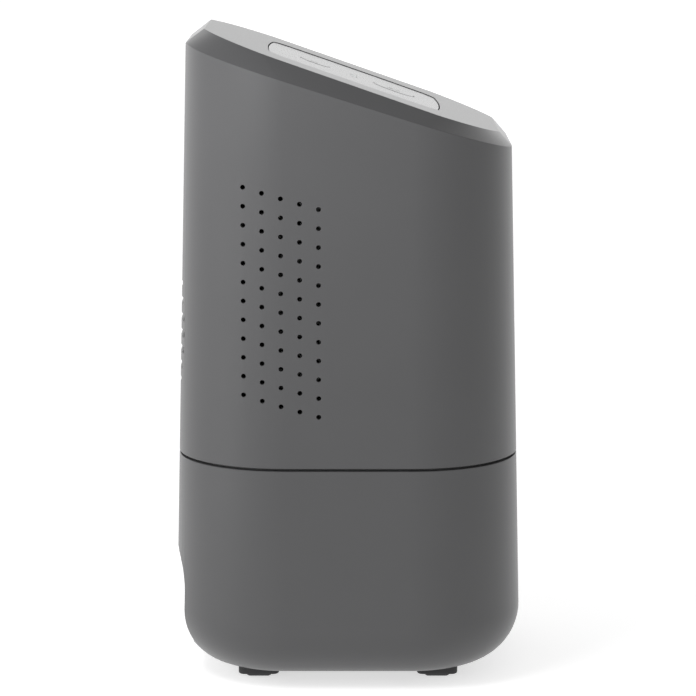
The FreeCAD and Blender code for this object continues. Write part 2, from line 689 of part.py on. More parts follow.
# ---------------------------------------------------------------- machine compartment
def machine_deck():
    """Floor of the machine compartment, over the tank bay, with guides for the main board."""
    top = DECK_Z + DECK_T
    inner = level_band(envelope(WALL + DECK_GAP), DECK_Z, top)
    guides = []
    for side in (-1, 1):
        xs = sorted((side * GUIDE_XS[0], side * GUIDE_XS[1]))
        guides.append(box(xs[0], xs[1], GUIDE_YS[0], GUIDE_YS[1], top - 0.5, GUIDE_TOP))
    tools = [rod(SCREW_R + SCREW_FREE, x, y, DECK_Z - 1, 5) for x, y in post_places()]
    tools.append(rod(SPOUT_R + 1.2, 0, SPOUT_Y, DECK_Z - 1, 5))
    slot = MAIN_BOARD_HALF + 0.2
    tools.append(box(-slot, slot, MAIN_BOARD_Y - 0.1, PARTS_Y + 0.1, top, GUIDE_TOP + 1.0))
    return cut(fuse([inner] + guides), tools)


def drip_tray():
    half_y = (TRAY_YS[1] - TRAY_YS[0]) / 2
    y_mid = (TRAY_YS[1] + TRAY_YS[0]) / 2
    half_x = SHROUD_X - 0.4
    pan = rounded_plate(half_x, half_y, TRAY_CORNER_R, TRAY_Z, TRAY_T, y_mid)
    hollow = rounded_plate(half_x - TRAY_WALL, half_y - TRAY_WALL, TRAY_CORNER_R - TRAY_WALL,
                           TRAY_Z + TRAY_WALL, TRAY_T, y_mid)
    deck_top = DECK_Z + DECK_T
    legs = [rod(TRAY_LEG_R, x, y, deck_top, TRAY_Z - deck_top + 1.0) for x, y in TRAY_LEGS]
    spout = rod(SPOUT_R, 0, SPOUT_Y, SPOUT_Z, TRAY_Z - SPOUT_Z + 0.6)
    bore = rod(SPOUT_BORE, 0, SPOUT_Y, SPOUT_Z - 1.0, 60.0)
    funnel = Part.makeCone(SPOUT_BORE, FUNNEL_R, TRAY_WALL - 0.2, Vector(0, SPOUT_Y, TRAY_Z + 0.3))
    return cut(fuse([pan.cut(hollow), spout] + legs), [bore, funnel])


def fan_corner_places():
    return [(sx * FAN_HOLE_AT, FAN_Z + sz * FAN_HOLE_AT) for sx in (-1, 1) for sz in (-1, 1)]


def air_shroud():
    """Duct round both heat sinks, with the partition that holds the cooler between cold and warm air."""
    y_plate = HOT_Y - PARTITION_T
    y_end = FAN_FRONT - SHROUD_GAP
    plate = box(-PARTITION_HALF, PARTITION_HALF, y_plate, HOT_Y, DECK_Z + DECK_T, PARTITION_TOP)
    outer_x = SHROUD_X + SHROUD_WALL
    sides = [box(min(s * SHROUD_X, s * outer_x), max(s * SHROUD_X, s * outer_x), SHROUD_FRONT,
                 y_end, TRAY_Z + 2.0, SHROUD_TOP + SHROUD_WALL) for s in (-1, 1)]
    roof = box(-outer_x, outer_x, SHROUD_FRONT, y_end, SHROUD_TOP, SHROUD_TOP + SHROUD_WALL)
    bosses = [rod(BOSS_R, x, y_plate - BOSS_L, z, BOSS_L + 0.2, (0, 1, 0)) for x, z in fan_corner_places()]
    body = fuse([plate, roof] + sides + bosses)
    gap = COLD_HALF + 0.3
    window = box(-gap, gap, y_plate - 1, HOT_Y + 1, FAN_Z - gap, FAN_Z + gap)
    air_ways = [box(-30.0, 30.0, y_plate - 1, HOT_Y + 1, FAN_Z + s * 35.0 - 2.5, FAN_Z + s * 35.0 + 2.5)
                for s in (-1, 1)]
    pilots = [rod(SCREW_R + SCREW_CLEAR, x, y_plate - 3.0, z, 12.0, (0, 1, 0))
              for x, z in fan_corner_places()]
    wire_ways = [box(s * WIRE_WAY_X - 6.0, s * WIRE_WAY_X + 6.0, y_plate - 1, HOT_Y + 1,
                     WIRE_WAY_Z - 2.2, WIRE_WAY_Z + 2.2) for s in (-1, 1)]
    lead_grooves = [box(COLD_HALF, COLD_HALF + 11.0, y_plate - 1, COOLER_LEAD_Y + 1.2, z - 1.4, z + 1.4)
                    for z in LEAD_ZS]
    clear = [rod(POST_R + 1.0, x, y, DECK_Z, 60.0) for x, y in post_places()]
    return cut(body, [window] + air_ways + pilots + clear + wire_ways + lead_grooves)


def hot_sink():
    y1 = HOT_Y + HOT_BASE_T
    base = box(-HOT_HALF, HOT_HALF, HOT_Y, y1, FAN_Z - HOT_HALF, FAN_Z + HOT_HALF)
    fins = []
    for i in range(HOT_FINS):
        x = 4.0 * (i - (HOT_FINS - 1) / 2)
        if abs(x) <= 28.5:
            z_half = HOT_HALF
        else:
            z_half = HOT_HALF - 9.5
        fins.append(box(x - FIN_T / 2, x + FIN_T / 2, y1 - 0.5, y1 + HOT_FIN, FAN_Z - z_half, FAN_Z + z_half))
    posts = [rod(3.6, x, y1 - 0.5, z, HOT_FIN + 0.5, (0, 1, 0)) for x, z in fan_corner_places()]
    holes = [rod(SCREW_R + SCREW_FREE, x, HOT_Y - 1, z, 40.0, (0, 1, 0)) for x, z in fan_corner_places()]
    taps = [rod(SCREW_R + SCREW_CLEAR, 0, HOT_Y - 1, FAN_Z + s * 25.0, 5.0, (0, 1, 0)) for s in (-1, 1)]
    return cut(fuse([base] + fins + posts), holes + taps)


def cold_sink():
    y1 = HOT_Y - PELTIER_T
    y0 = y1 - COLD_BASE_T
    base = box(-COLD_HALF, COLD_HALF, y0, y1, FAN_Z - COLD_HALF, FAN_Z + COLD_HALF)
    fins = []
    for side in (-1, 1):
        for i in range(6):
            x = side * (4.4 + 4.9 * i)
            fins.append(box(x - FIN_T / 2, x + FIN_T / 2, y0 - COLD_FIN, y0 + 0.5,
                            FAN_Z - COLD_HALF, FAN_Z + COLD_HALF))
    holes = [rod(SCREW_R + SCREW_FREE, 0, y0 - 1, FAN_Z + s * 25.0, 8.0, (0, 1, 0)) for s in (-1, 1)]
    return cut(fuse([base] + fins), holes)


def peltier_module():
    y0 = HOT_Y - PELTIER_T
    core = PELTIER_HALF - 1.0
    cells = box(-core, core, y0 + 0.5, HOT_Y - 0.5, FAN_Z - core, FAN_Z + core)
    plates = [box(-PELTIER_HALF, PELTIER_HALF, y, y + 0.8, FAN_Z - PELTIER_HALF, FAN_Z + PELTIER_HALF)
              for y in (y0, HOT_Y - 0.8)]
    return fuse([cells] + plates)


def cooler_gasket():
    y0 = HOT_Y - PELTIER_T
    pad = box(-COLD_HALF, COLD_HALF, y0, HOT_Y, FAN_Z - COLD_HALF, FAN_Z + COLD_HALF)
    gap = PELTIER_HALF + 0.2
    window = box(-gap, gap, y0 - 1, HOT_Y + 1, FAN_Z - gap, FAN_Z + gap)
    holes = [rod(SCREW_R + SCREW_FREE, 0, y0 - 1, FAN_Z + s * 25.0, 8.0, (0, 1, 0)) for s in (-1, 1)]
    lead_way = [box(COLD_HALF - 12.0, COLD_HALF + 1.0, y0 + 0.7, HOT_Y - 0.7, z - 1.2, z + 1.2)
                for z in LEAD_ZS]
    return cut(pad, [window] + holes + lead_way)


def clamp_screws():
    y0 = HOT_Y - PELTIER_T - COLD_BASE_T - SCREW_HEAD_T
    return [aimed(screw(11.0), (0, y0, FAN_Z + s * 25.0), (0, 1, 0)) for s in (-1, 1)]


def fan_frame():
    thick = FAN_REAR - FAN_FRONT
    body = rounded_plate(FAN_HALF, FAN_HALF, 4.0, 0.0, thick).cut(rod(FAN_BORE, 0, 0, -1, thick + 2))
    relief = []
    for sx in (-1, 1):
        for sy in (-1, 1):
            at = FAN_HALF * 0.98
            waist = rod(9.0, sx * at, sy * at, 4.0, thick - 8.0)
            relief.append(waist.cut(rod(4.4, sx * FAN_HOLE_AT, sy * FAN_HOLE_AT, 0, thick)))
    cup = rod(HUB_R + 0.5, 0, 0, thick - 3.0, 3.0)
    tube = rod(4.6, 0, 0, thick - 15.0, 13.0)
    struts = []
    for i in range(4):
        strut = box(HUB_R - 1.0, FAN_BORE + 0.8, -2.2, 2.2, thick - 3.0, thick)
        strut.rotate(Vector(0, 0, 0), Vector(0, 0, 1), 90.0 * i + 20.0)
        struts.append(strut)
    body = fuse([body.cut(relief), cup, tube] + struts)
    holes = [rod(SCREW_R + SCREW_FREE, sx * FAN_HOLE_AT, sy * FAN_HOLE_AT, -1, thick + 2)
             for sx in (-1, 1) for sy in (-1, 1)]
    holes.append(rod(3.02, 0, 0, thick - 16.0, 14.0))
    return in_fan(cut(body, holes))


def in_fan(shape):
    """Lay a shape drawn along +Z from the fan's intake face onto the fan's own axis."""
    return aimed(shape, (0, FAN_FRONT, FAN_Z), (0, 1, 0))


def fan_bearing():
    return in_fan(rod(3.0, 0, 0, 10.5, 11.0).cut(rod(SHAFT_R + 0.05, 0, 0, 9.0, 14.0)))


def motor_stator():
    core = rod(7.0, 0, 0, 10.5, 9.0)
    poles = []
    for i in range(4):
        arm = box(5.0, 10.6, -2.5, 2.5, 11.5, 18.5)
        shoe = box(9.6, 11.6, -4.2, 4.2, 11.0, 19.0)
        pole = arm.fuse(shoe)
        pole.rotate(Vector(0, 0, 0), Vector(0, 0, 1), 90.0 * i)
        poles.append(pole)
    return in_fan(fuse([core] + poles).cut(rod(4.62, 0, 0, 9.0, 12.0)))


def blade(index):
    """Twisted blade between a steep root section and a flatter tip section."""
    sections = []
    for radius, pitch, chord in ((HUB_R - 0.8, 52.0, 17.0), (FAN_BORE - 2.6, 34.0, 22.0)):
        along = Vector(0, math.cos(math.radians(pitch)), math.sin(math.radians(pitch))) * (chord / 2)
        across = Vector(0, -math.sin(math.radians(pitch)), math.cos(math.radians(pitch))) * 0.7
        middle = Vector(radius, 0, 10.5)
        corners = [middle + along + across, middle - along + across, middle - along - across,
                   middle + along - across]
        sections.append(Part.makePolygon(corners + corners[:1]))
    vane = Part.makeLoft(sections, True, True)
    vane.rotate(Vector(0, 0, 0), Vector(0, 0, 1), 360.0 / BLADES * index)
    return vane


def fan_impeller():
    hub = rod(HUB_R, 0, 0, 1.5, 17.5)
    hub = hub.makeFillet(1.6, [e for e in hub.Edges if e.BoundBox.ZMax < 1.6 and len(e.Vertexes) == 1])
    hollow = rod(HUB_R - 1.4, 0, 0, 3.3, 20.0)
    vanes = [blade(i).cut(rod(HUB_R - 1.0, 0, 0, -5.0, 40.0)) for i in range(BLADES)]
    return in_fan(fuse([hub.cut(hollow)] + vanes))


def rotor_magnet():
    return in_fan(rod(HUB_R - 1.45, 0, 0, 10.0, 8.5).cut(rod(HUB_R - 2.9, 0, 0, 9.0, 11.0)))


def fan_shaft():
    return in_fan(rod(SHAFT_R, 0, 0, 3.3, 18.0))


def fan_screws():
    return [aimed(screw(50.0), (x, FAN_REAR + SCREW_HEAD_T, z), (0, -1, 0)) for x, z in fan_corner_places()]


def main_board():
    return box(-MAIN_BOARD_HALF, MAIN_BOARD_HALF, MAIN_BOARD_Y, PARTS_Y, DECK_Z + DECK_T, MAIN_BOARD_TOP)


def capacitors():
    sizes = ((5.0, 16.0, -20.0), (4.0, 12.0, -8.0))
    return [rod(radius, x, PARTS_Y, 100.0, length, (0, 1, 0)) for radius, length, x in sizes]


def terminal_blocks():
    return [box(x, x + 11.0, PARTS_Y, PARTS_Y + 7.4, 100.0, 109.0) for x in (6.0, 20.0)]


def power_transistor():
    """Power transistor on its own small finned plate."""
    low, high = 70.0, 88.0
    plate = box(-26.0, -14.0, PARTS_Y, PARTS_Y + 4.4, low, high)
    fins = [box(x, x + 1.0, PARTS_Y + 3.9, PARTS_Y + 10.4, low, high) for x in (-26.0, -22.33, -18.67, -15.0)]
    return fuse([plate] + fins)


def level_board():
    return box(-LEVEL_BOARD_HALF, LEVEL_BOARD_HALF, LEVEL_BOARD_Y, LEVEL_BOARD_Y + BOARD_T,
               LEVEL_BOARD_Z, DECK_Z)


def reed_switch():
    return rod(REED_R, -REED_L / 2, LEVEL_BOARD_Y + BOARD_T + REED_R, REED_Z, REED_L, (1, 0, 0))


def dc_jack():
    """Barrel inlet: its block stands on the deck, and its barrel reaches into the rear wall."""
    front = half_at(JACK_Z) - 0.6
    y0, y1 = JACK_YS
    barrel = rod(JACK_R, 0, y1, JACK_Z, front - y1, (0, 1, 0))
    block = box(-JACK_HALF, JACK_HALF, y0, y1 + 0.5, JACK_Z - 5.0, JACK_Z + 5.0)
    leg = box(-JACK_HALF, JACK_HALF, y0, y1 + 0.5, DECK_Z + DECK_T, JACK_Z - 4.5)
    bore = rod(JACK_BORE, 0, JACK_BOTTOM_Y, JACK_Z, 20.0, (0, 1, 0))
    return cut(fuse([barrel, block, leg]), [bore])


def jack_pin():
    return rod(JACK_PIN_R, 0, JACK_BOTTOM_Y, JACK_Z, 8.5, (0, 1, 0))


# ---------------------------------------------------------------- wiring
def jack_leads():
    """Supply pair: forward from the inlet, through the partition, up to the main board."""
    made = []
    for x in (-2.0, 2.0):
        made.append(lead(((x, 50.0, 62.0), (x, 40.0, 62.0), (x - 18.0, 22.0, WIRE_WAY_Z),
                          (x - 18.0, -6.0, WIRE_WAY_Z), (x - 20.0, -32.0, 63.0),
                          (x - 20.0, PARTS_Y, 63.0)), LEAD_R))
    return made


def fan_lead():
    x = WIRE_WAY_X
    return lead(((30.0, 50.0, FAN_Z - FAN_HALF), (30.0, 50.0, 84.0), (27.0, 34.0, 66.0),
                 (x, 20.0, WIRE_WAY_Z), (x, -10.0, WIRE_WAY_Z), (25.0, -36.0, 66.0),
                 (25.0, -44.7, 82.0), (25.0, -44.7, 100.0)), LEAD_R)


def cooler_leads():
    """Pair from the cooler, out beside the cold fins and forward to its terminal block."""
    made = []
    for z, x in zip(LEAD_ZS, (9.5, 13.5)):
        made.append(lead(((PELTIER_HALF, COOLER_LEAD_Y, z), (35.0, COOLER_LEAD_Y, z), (40.0, 0.0, z),
                          (37.0, -22.0, z - 3.0), (x + 8.0, -38.0, z - 4.0), (x, -44.7, z - 8.0),
                          (x, -44.7, 109.0)), LEAD_R))
    return made


def panel_cable():
    tilt = math.radians(TOP_ANGLE)
    low = board_top() - BOARD_T

    def under_board(depth):
        y = -24.0
        return (0.0, PANEL_Y + y * math.cos(tilt) - (low - depth) * math.sin(tilt),
                TOP_Z + TOP_SLOPE * PANEL_Y + y * math.sin(tilt) + (low - depth) * math.cos(tilt))

    return lead((under_board(0.0), under_board(14.0), (0.0, -42.0, 172.0), (0.0, -49.2, 148.0),
                 (0.0, -49.2, MAIN_BOARD_TOP)), CABLE_R)


def main():
    os.makedirs("parts", exist_ok=True)
    skin = envelope(0.0)
    core = envelope(WALL)
    save("upper_housing", upper_housing(skin, core))
    save("base_housing", base_housing(skin, core))
    save("feet", *feet(skin))
    save("housing_screws", *housing_screws())
    save("control_panel", control_panel())
    save("power_button", key(POWER_KEY_R, POWER_KEY_Y))
    save("mode_button", key(MODE_KEY_R, MODE_KEY_Y))
    save("button_switches", switch(POWER_KEY_Y), switch(MODE_KEY_Y))
    save("indicator_lens", indicator_lens())
    save("status_leds", *status_leds())
    save("button_board", key_board())
    save("button_board_screws", *key_board_screws())
    save("water_tank", water_tank(skin))
    save("tank_lid", tank_lid())
    save("tank_float", tank_float())
    save("float_magnet", float_magnet())
    save("machine_deck", machine_deck())
    save("drip_tray", drip_tray())
    save("air_shroud", air_shroud())
    save("hot_sink", hot_sink())
    save("cold_sink", cold_sink())
    save("peltier_module", peltier_module())
    save("cooler_gasket", cooler_gasket())
    save("clamp_screws", *clamp_screws())
    save("fan_frame", fan_frame())
    save("fan_bearing", fan_bearing())
    save("motor_stator", motor_stator())
    save("fan_impeller", fan_impeller())
    save("rotor_magnet", rotor_magnet())
    save("fan_shaft", fan_shaft())
    save("fan_screws", *fan_screws())
    save("main_board", main_board())
    save("capacitors", *capacitors())
    save("terminal_blocks", *terminal_blocks())
    save("power_transistor", power_transistor())
    save("level_board", level_board())
    save("reed_switch", reed_switch())
    save("dc_jack", dc_jack())
    save("jack_pin", jack_pin())
    save("jack_leads", *jack_leads())
    save("fan_lead", fan_lead())
    save("cooler_leads", *cooler_leads())
    save("panel_cable", panel_cable())


main()
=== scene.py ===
import json
import math

import bmesh
import bpy
from mathutils import Matrix, Vector

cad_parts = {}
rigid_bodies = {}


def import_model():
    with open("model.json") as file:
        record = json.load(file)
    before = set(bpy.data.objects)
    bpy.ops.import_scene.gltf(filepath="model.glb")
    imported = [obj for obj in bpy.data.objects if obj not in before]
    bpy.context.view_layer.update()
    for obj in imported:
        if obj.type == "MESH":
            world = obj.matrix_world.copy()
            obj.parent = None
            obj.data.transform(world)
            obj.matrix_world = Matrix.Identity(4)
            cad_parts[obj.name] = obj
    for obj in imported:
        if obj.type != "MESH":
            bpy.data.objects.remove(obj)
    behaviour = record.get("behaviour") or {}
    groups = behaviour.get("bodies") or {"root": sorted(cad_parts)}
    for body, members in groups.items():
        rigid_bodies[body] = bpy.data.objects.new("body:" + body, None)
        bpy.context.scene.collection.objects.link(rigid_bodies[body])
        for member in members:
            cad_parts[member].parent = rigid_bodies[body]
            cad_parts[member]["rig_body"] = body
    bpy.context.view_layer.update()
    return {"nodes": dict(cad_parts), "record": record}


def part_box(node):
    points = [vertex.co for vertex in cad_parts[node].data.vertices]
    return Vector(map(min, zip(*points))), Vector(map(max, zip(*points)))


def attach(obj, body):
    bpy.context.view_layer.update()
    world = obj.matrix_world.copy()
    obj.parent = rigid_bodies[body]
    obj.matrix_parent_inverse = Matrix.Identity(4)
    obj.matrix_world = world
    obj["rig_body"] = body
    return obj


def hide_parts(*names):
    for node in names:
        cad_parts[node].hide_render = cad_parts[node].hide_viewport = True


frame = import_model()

# A compact thermoelectric dehumidifier. Metres, +Z up, front towards -Y, tank side towards +Y.
# Lengths below are in millimetres and are turned to metres by MM where they are used.
MM = 0.001

# ---- housing skin, by the same rule as the CAD housing
SEAM_Z = 90.0
SEAM_HALF = 67.7
DRAFT = 0.0233
CORNER_R = 43.0
CORNER_AT = SEAM_HALF - CORNER_R
BOTTOM_Z = 4.4
BOTTOM_R = 23.5
WALL = 2.4
TOP_Z = 239.1
TOP_SLOPE = 0.348
TOP_HALF_X = 56.0
TOP_HALF_Y = 57.9
TOP_MID_Y = -1.6
TOP_CORNER_R = 25.0         # where the corner arcs of the flat top start, and their own larger radius
TOP_CORNER_ARC = 40.0
BEVEL_SHARE = 0.6           # how far the inside of the bevel steps in, and drops, for each wall thickness
SHOULDER_SHARE = 0.65
SHOULDER_Z = 232.85
SHOULDER_SLOPE = 0.314
TILT = math.atan(TOP_SLOPE)
BASE_RIM_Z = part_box("base_housing")[1].z / MM
UPPER_RIM_Z = 2 * SEAM_Z - BASE_RIM_Z
LIP_DEPTH = 6.0
LIP_GAP = 0.3
LIP_WALL = 1.5

# ---- vents and grille
VENT_R = 0.95
VENT_COLUMNS = 5
VENT_ROWS = 12
VENT_Y = 40.5
VENT_Z = 199.9
VENT_PITCH_Y = 7.29
VENT_PITCH_Z = 7.34
VENT_DROP = 2.06
GRILLE_SLOTS = 11
GRILLE_PITCH = 6.4
GRILLE_SLOT_R = 1.5
GRILLE_R = 36.0
SLOT_CUT_IN = 3.0           # middle of the grille cutters, inside the rear wall, and their length
SLOT_CUT_L = 14.0
FAN_LOW, FAN_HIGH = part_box("fan_frame")
FAN_MID = (FAN_LOW + FAN_HIGH) / 2 / MM

# ---- control panel, in the plane of the top
PANEL_Y = -2.45
PANEL_HALF_X = 34.15
PANEL_HALF_Y = 36.15
PANEL_R = 7.0
PANEL_SIDE_R = 300.0
PANEL_SUNK = 0.3
PANEL_T = 2.2
PANEL_GAP = 0.4
LEDGE = 3.0
LEDGE_T = 1.6
KEY_GAP = 0.3
KEY_PROUD = 0.1
KEY_FLANGE = 1.1
KEY_FLANGE_T = 1.0
KEY_UNDER = 0.4
PLUNGER_R = 1.8
PLUNGER_L = 1.2
KEY_DISH = 0.04
INK_LIFT = Vector((0.0, 0.0, 0.04))
POWER_KEY_R = 8.5
POWER_KEY_Y = -17.0
MODE_KEY_R = 6.0
MODE_KEY_Y = 16.5
LENS_HALF_X = 7.0
LENS_HALF_Y = 1.2
LENS_DEPTH = 3.0

# ---- tank bay, feet, towers
MOUTH_HALF = 42.4
MOUTH_TOP = 51.5
MOUTH_R = 16.0
MOUTH_Y = 40.0
FLOOR_Z = BOTTOM_Z + WALL
RAIL_W = 1.6
RAIL_H = 8.0
RAIL_YS = (-46.0, 46.0)
STOP_HALF = 20.0
STOP_H = 12.0
STOP_YS = (-49.0, -47.0)
FOOT_AT = 35.8
FOOT_HALF = 8.1
FOOT_CORNER_R = 2.6
FOOT_STEP_Z = 1.5
FOOT_EDGE_R = 0.7
PAD_HALF = 4.7
PAD_SPREAD = 1.2
PAD_CORNER_R = 1.2
POST_X = 49.5
POST_Y = 22.0
POST_R = 4.4
POST_EDGE = 0.3
PILOT_R = 1.7
SCREW_WELL_R = 3.4
DECK_Z = 54.0
WELL_TOP = DECK_Z - 4.0
TOWER_L = 50.0
JACK_Z = 70.0
JACK_HOLE_R = 4.2
JACK_HOLE_Y = 60.0
JACK_HOLE_L = 14.0
RIB_HALF = 1.0
RIB_RISE = 4.0


# ================================================================ materials
def linear(hex_colour):
    """sRGB hex to the linear colour that a shader wants."""
    channels = [int(hex_colour[i:i + 2], 16) / 255 for i in (1, 3, 5)]
    return [c / 12.92 if c <= 0.04045 else ((c + 0.055) / 1.055) ** 2.4 for c in channels] + [1.0]


def add(tree, kind, settings=None, **links):
    """Add one node: settings by attribute or input name, links by input name."""
    node = tree.nodes.new(kind)
    for name, value in (settings or {}).items():
        if hasattr(node, name):
            setattr(node, name, value)
        else:
            node.inputs[name].default_value = value
    for name, source in links.items():
        tree.links.new(source, node.inputs[name.replace("_", " ")])
    return node


def finish_material(name, colour, dark, roughness, spread, grain_mm, bump_mm, metallic=0.0, ior=1.5, **sockets):
    """Opaque moulded, cast or extruded surface: fine grain in bump, slow drift in colour and roughness."""
    material = bpy.data.materials.new(name)
    material.use_nodes = True
    tree = material.node_tree
    tree.nodes.clear()
    out = add(tree, "ShaderNodeOutputMaterial")
    shader = add(tree, "ShaderNodeBsdfPrincipled", {"Metallic": metallic, **sockets})
    if not metallic:
        shader.inputs["IOR"].default_value = ior
    place = add(tree, "ShaderNodeTexCoord").outputs["Object"]
    cloud = add(tree, "ShaderNodeTexNoise", {"Scale": 35.0, "Detail": 3.0}, Vector=place)
    mottle = add(tree, "ShaderNodeMix", {"data_type": "RGBA", "blend_type": "MIX"})
    mottle.inputs["A"].default_value = linear(dark)
    mottle.inputs["B"].default_value = linear(colour)
    tree.links.new(cloud.outputs["Fac"], mottle.inputs["Factor"])
    tree.links.new(mottle.outputs["Result"], shader.inputs["Base Color"])
    grain = add(tree, "ShaderNodeTexNoise", {"Scale": 1.0 / (grain_mm * MM), "Detail": 2.0}, Vector=place)
    rough = add(tree, "ShaderNodeMapRange", {"To Min": roughness - spread, "To Max": roughness + spread},
                Value=grain.outputs["Fac"])
    tree.links.new(rough.outputs["Result"], shader.inputs["Roughness"])
    bump = add(tree, "ShaderNodeBump", {"Strength": 1.0, "Distance": bump_mm * MM}, Height=grain.outputs["Fac"])
    tree.links.new(bump.outputs["Normal"], shader.inputs["Normal"])
    tree.links.new(shader.outputs["BSDF"], out.inputs["Surface"])
    return material


# ABS with a fine spark-eroded texture: dark grey, satin, bright only where it is seen edge-on.
ABS = finish_material("abs_spark_eroded_charcoal", "#424243", "#3f3f40", 0.34, 0.05, 0.5, 0.008)
# The same ABS polished in the mould: a smoother insert that mirrors a little more. Its base colour is painted a
# shade lighter than the housing ABS, as painted highlight for the insert's brighter reflection.
ABS_POLISHED_PAINTED_HIGHLIGHT = finish_material("abs_polished_charcoal_painted_highlight", "#4a4a4b", "#474748", 0.28, 0.03, 0.8, 0.003)
# Keys: the same ABS as the insert, with a slightly finer texture and the same lighter base colour, painted
# highlight as on the insert.
ABS_KEY_PAINTED_HIGHLIGHT = finish_material("abs_fine_textured_key_painted_highlight", "#4a4a4b", "#474748", 0.28, 0.03, 0.6, 0.003)
# Pad-printing ink: light grey, flat.
INK = finish_material("pad_print_ink_light_grey", "#c9cac9", "#c3c4c3", 0.55, 0.04, 0.3, 0.002)
# Elastomer feet: nearly black, matt, with a soft sheen.
TPE = finish_material("tpe_black_feet", "#303031", "#2a2a2b", 0.7, 0.06, 0.6, 0.01)
# Natural polypropylene of inner mouldings: pale grey, waxy.
POLYPROPYLENE = finish_material("polypropylene_pale_grey", "#c4c6c5", "#bcbebd", 0.42, 0.05, 0.7, 0.006)
# Glass-filled PBT of fans and inlets: black with a faint grain.
PBT = finish_material("pbt_glass_filled_black", "#232324", "#1d1d1e", 0.48, 0.06, 0.3, 0.006)
# Extruded aluminium, mill finish.
ALUMINIUM = finish_material("aluminium_mill_finish", "#c9cacb", "#bdbebf", 0.36, 0.08, 0.25, 0.004,
                            metallic=1.0)
# Zinc-plated screw steel.
ZINC_STEEL = finish_material("steel_zinc_plated", "#b9bbbd", "#a9abad", 0.3, 0.08, 0.3, 0.003, metallic=1.0)
# Turned brass.
BRASS = finish_material("brass_turned", "#c9a45c", "#bd9850", 0.28, 0.05, 0.3, 0.002, metallic=1.0)
# Glass-fibre board under green solder resist.
BOARD = finish_material("fr4_green_resist", "#1f5a3c", "#1a4f34", 0.3, 0.04, 0.6, 0.003)
# White alumina of the cooler's plates.
ALUMINA = finish_material("alumina_white", "#e6e5e0", "#deddd8", 0.5, 0.05, 0.4, 0.004)
# Closed-cell EVA foam.
EVA_FOAM = finish_material("eva_foam_pale", "#d8d7d2", "#cbcac5", 0.85, 0.05, 0.9, 0.06)
# Sintered ferrite.
FERRITE = finish_material("ferrite_dark", "#37383a", "#303133", 0.45, 0.06, 0.4, 0.006)
# Enamelled copper winding.
COPPER = finish_material("copper_enamelled", "#a8602f", "#9a5427", 0.3, 0.06, 0.35, 0.02, metallic=1.0)
# Expanded float foam, white.
FLOAT_FOAM = finish_material("polystyrene_float_white", "#eceae4", "#e2e0da", 0.7, 0.05, 1.4, 0.08)
# Soft PVC wire sleeve.
SLEEVE = finish_material("pvc_sleeve_black", "#2a2a2b", "#242425", 0.4, 0.05, 0.5, 0.004)
# White nylon terminal housings.
NYLON = finish_material("nylon_white", "#e4e3dd", "#dcdbd5", 0.45, 0.05, 0.6, 0.004)
# Smoke-grey SAN of the tank, tinted through its thickness.
SMOKE_SAN = finish_material("san_smoke_grey", "#55585b", "#515457", 0.16, 0.03, 1.2, 0.003, ior=1.57,
                            **{"Transmission Weight": 0.35})
# Frosted polycarbonate of the light pipe.
FROSTED = finish_material("polycarbonate_frosted", "#d9dddd", "#d3d7d7", 0.4, 0.04, 0.5, 0.004, ior=1.58,
                          **{"Transmission Weight": 0.4})
# Clear glass of the reed switch.
CLEAR_GLASS = finish_material("soda_glass_clear", "#e8efed", "#e2e9e7", 0.06, 0.02, 1.0, 0.001, ior=1.52,
                              **{"Transmission Weight": 0.9})


# ================================================================ mesh helpers
def piece_from(name, vertices, faces, material, metres=MM):
    mesh = bpy.data.meshes.new(name)
    mesh.from_pydata([Vector(v) * metres for v in vertices], [], faces)
    mesh.materials.append(material)
    mesh.update()
    piece = bpy.data.objects.new(name, mesh)
    bpy.context.scene.collection.objects.link(piece)
    return piece


def arc_points(centre, radius, start, end, steps):
    turns = [start + (end - start) * i / steps for i in range(steps + 1)]
    return [(centre[0] + radius * math.cos(t), centre[1] + radius * math.sin(t)) for t in turns]


def corner_outline(half_x, half_y, radius, steps=16, flats=6, arc_r=None):
    """Rounded rectangle about the origin, anticlockwise, as (x, y) pairs.

    The arcs start a radius short of the corner. Larger arcs (arc_r) meet the sides in a blunt edge.
    """
    arc_r = arc_r or radius
    half_chord = radius * math.sqrt(0.5)
    half_turn = math.asin(half_chord / arc_r)
    shift = (math.sqrt(arc_r ** 2 - half_chord ** 2) - half_chord) * math.sqrt(0.5)
    points = []
    for turn, (sx, sy) in enumerate(((1, 1), (-1, 1), (-1, -1), (1, -1))):
        centre = (sx * (half_x - radius - shift), sy * (half_y - radius - shift))
        middle = math.radians(90.0 * turn + 45.0)
        points += arc_points(centre, arc_r, middle - half_turn, middle + half_turn, steps)
        nx, ny = ((-1, 1), (-1, -1), (1, -1), (1, 1))[turn]
        next_x = nx * (half_x - radius) + radius * round(math.cos(math.radians(90.0 * (turn + 1))))
        next_y = ny * (half_y - radius) + radius * round(math.sin(math.radians(90.0 * (turn + 1))))
        last = points[-1]
        for i in range(1, flats):
            share = i / flats
            points.append((last[0] + (next_x - last[0]) * share, last[1] + (next_y - last[1]) * share))
    return points


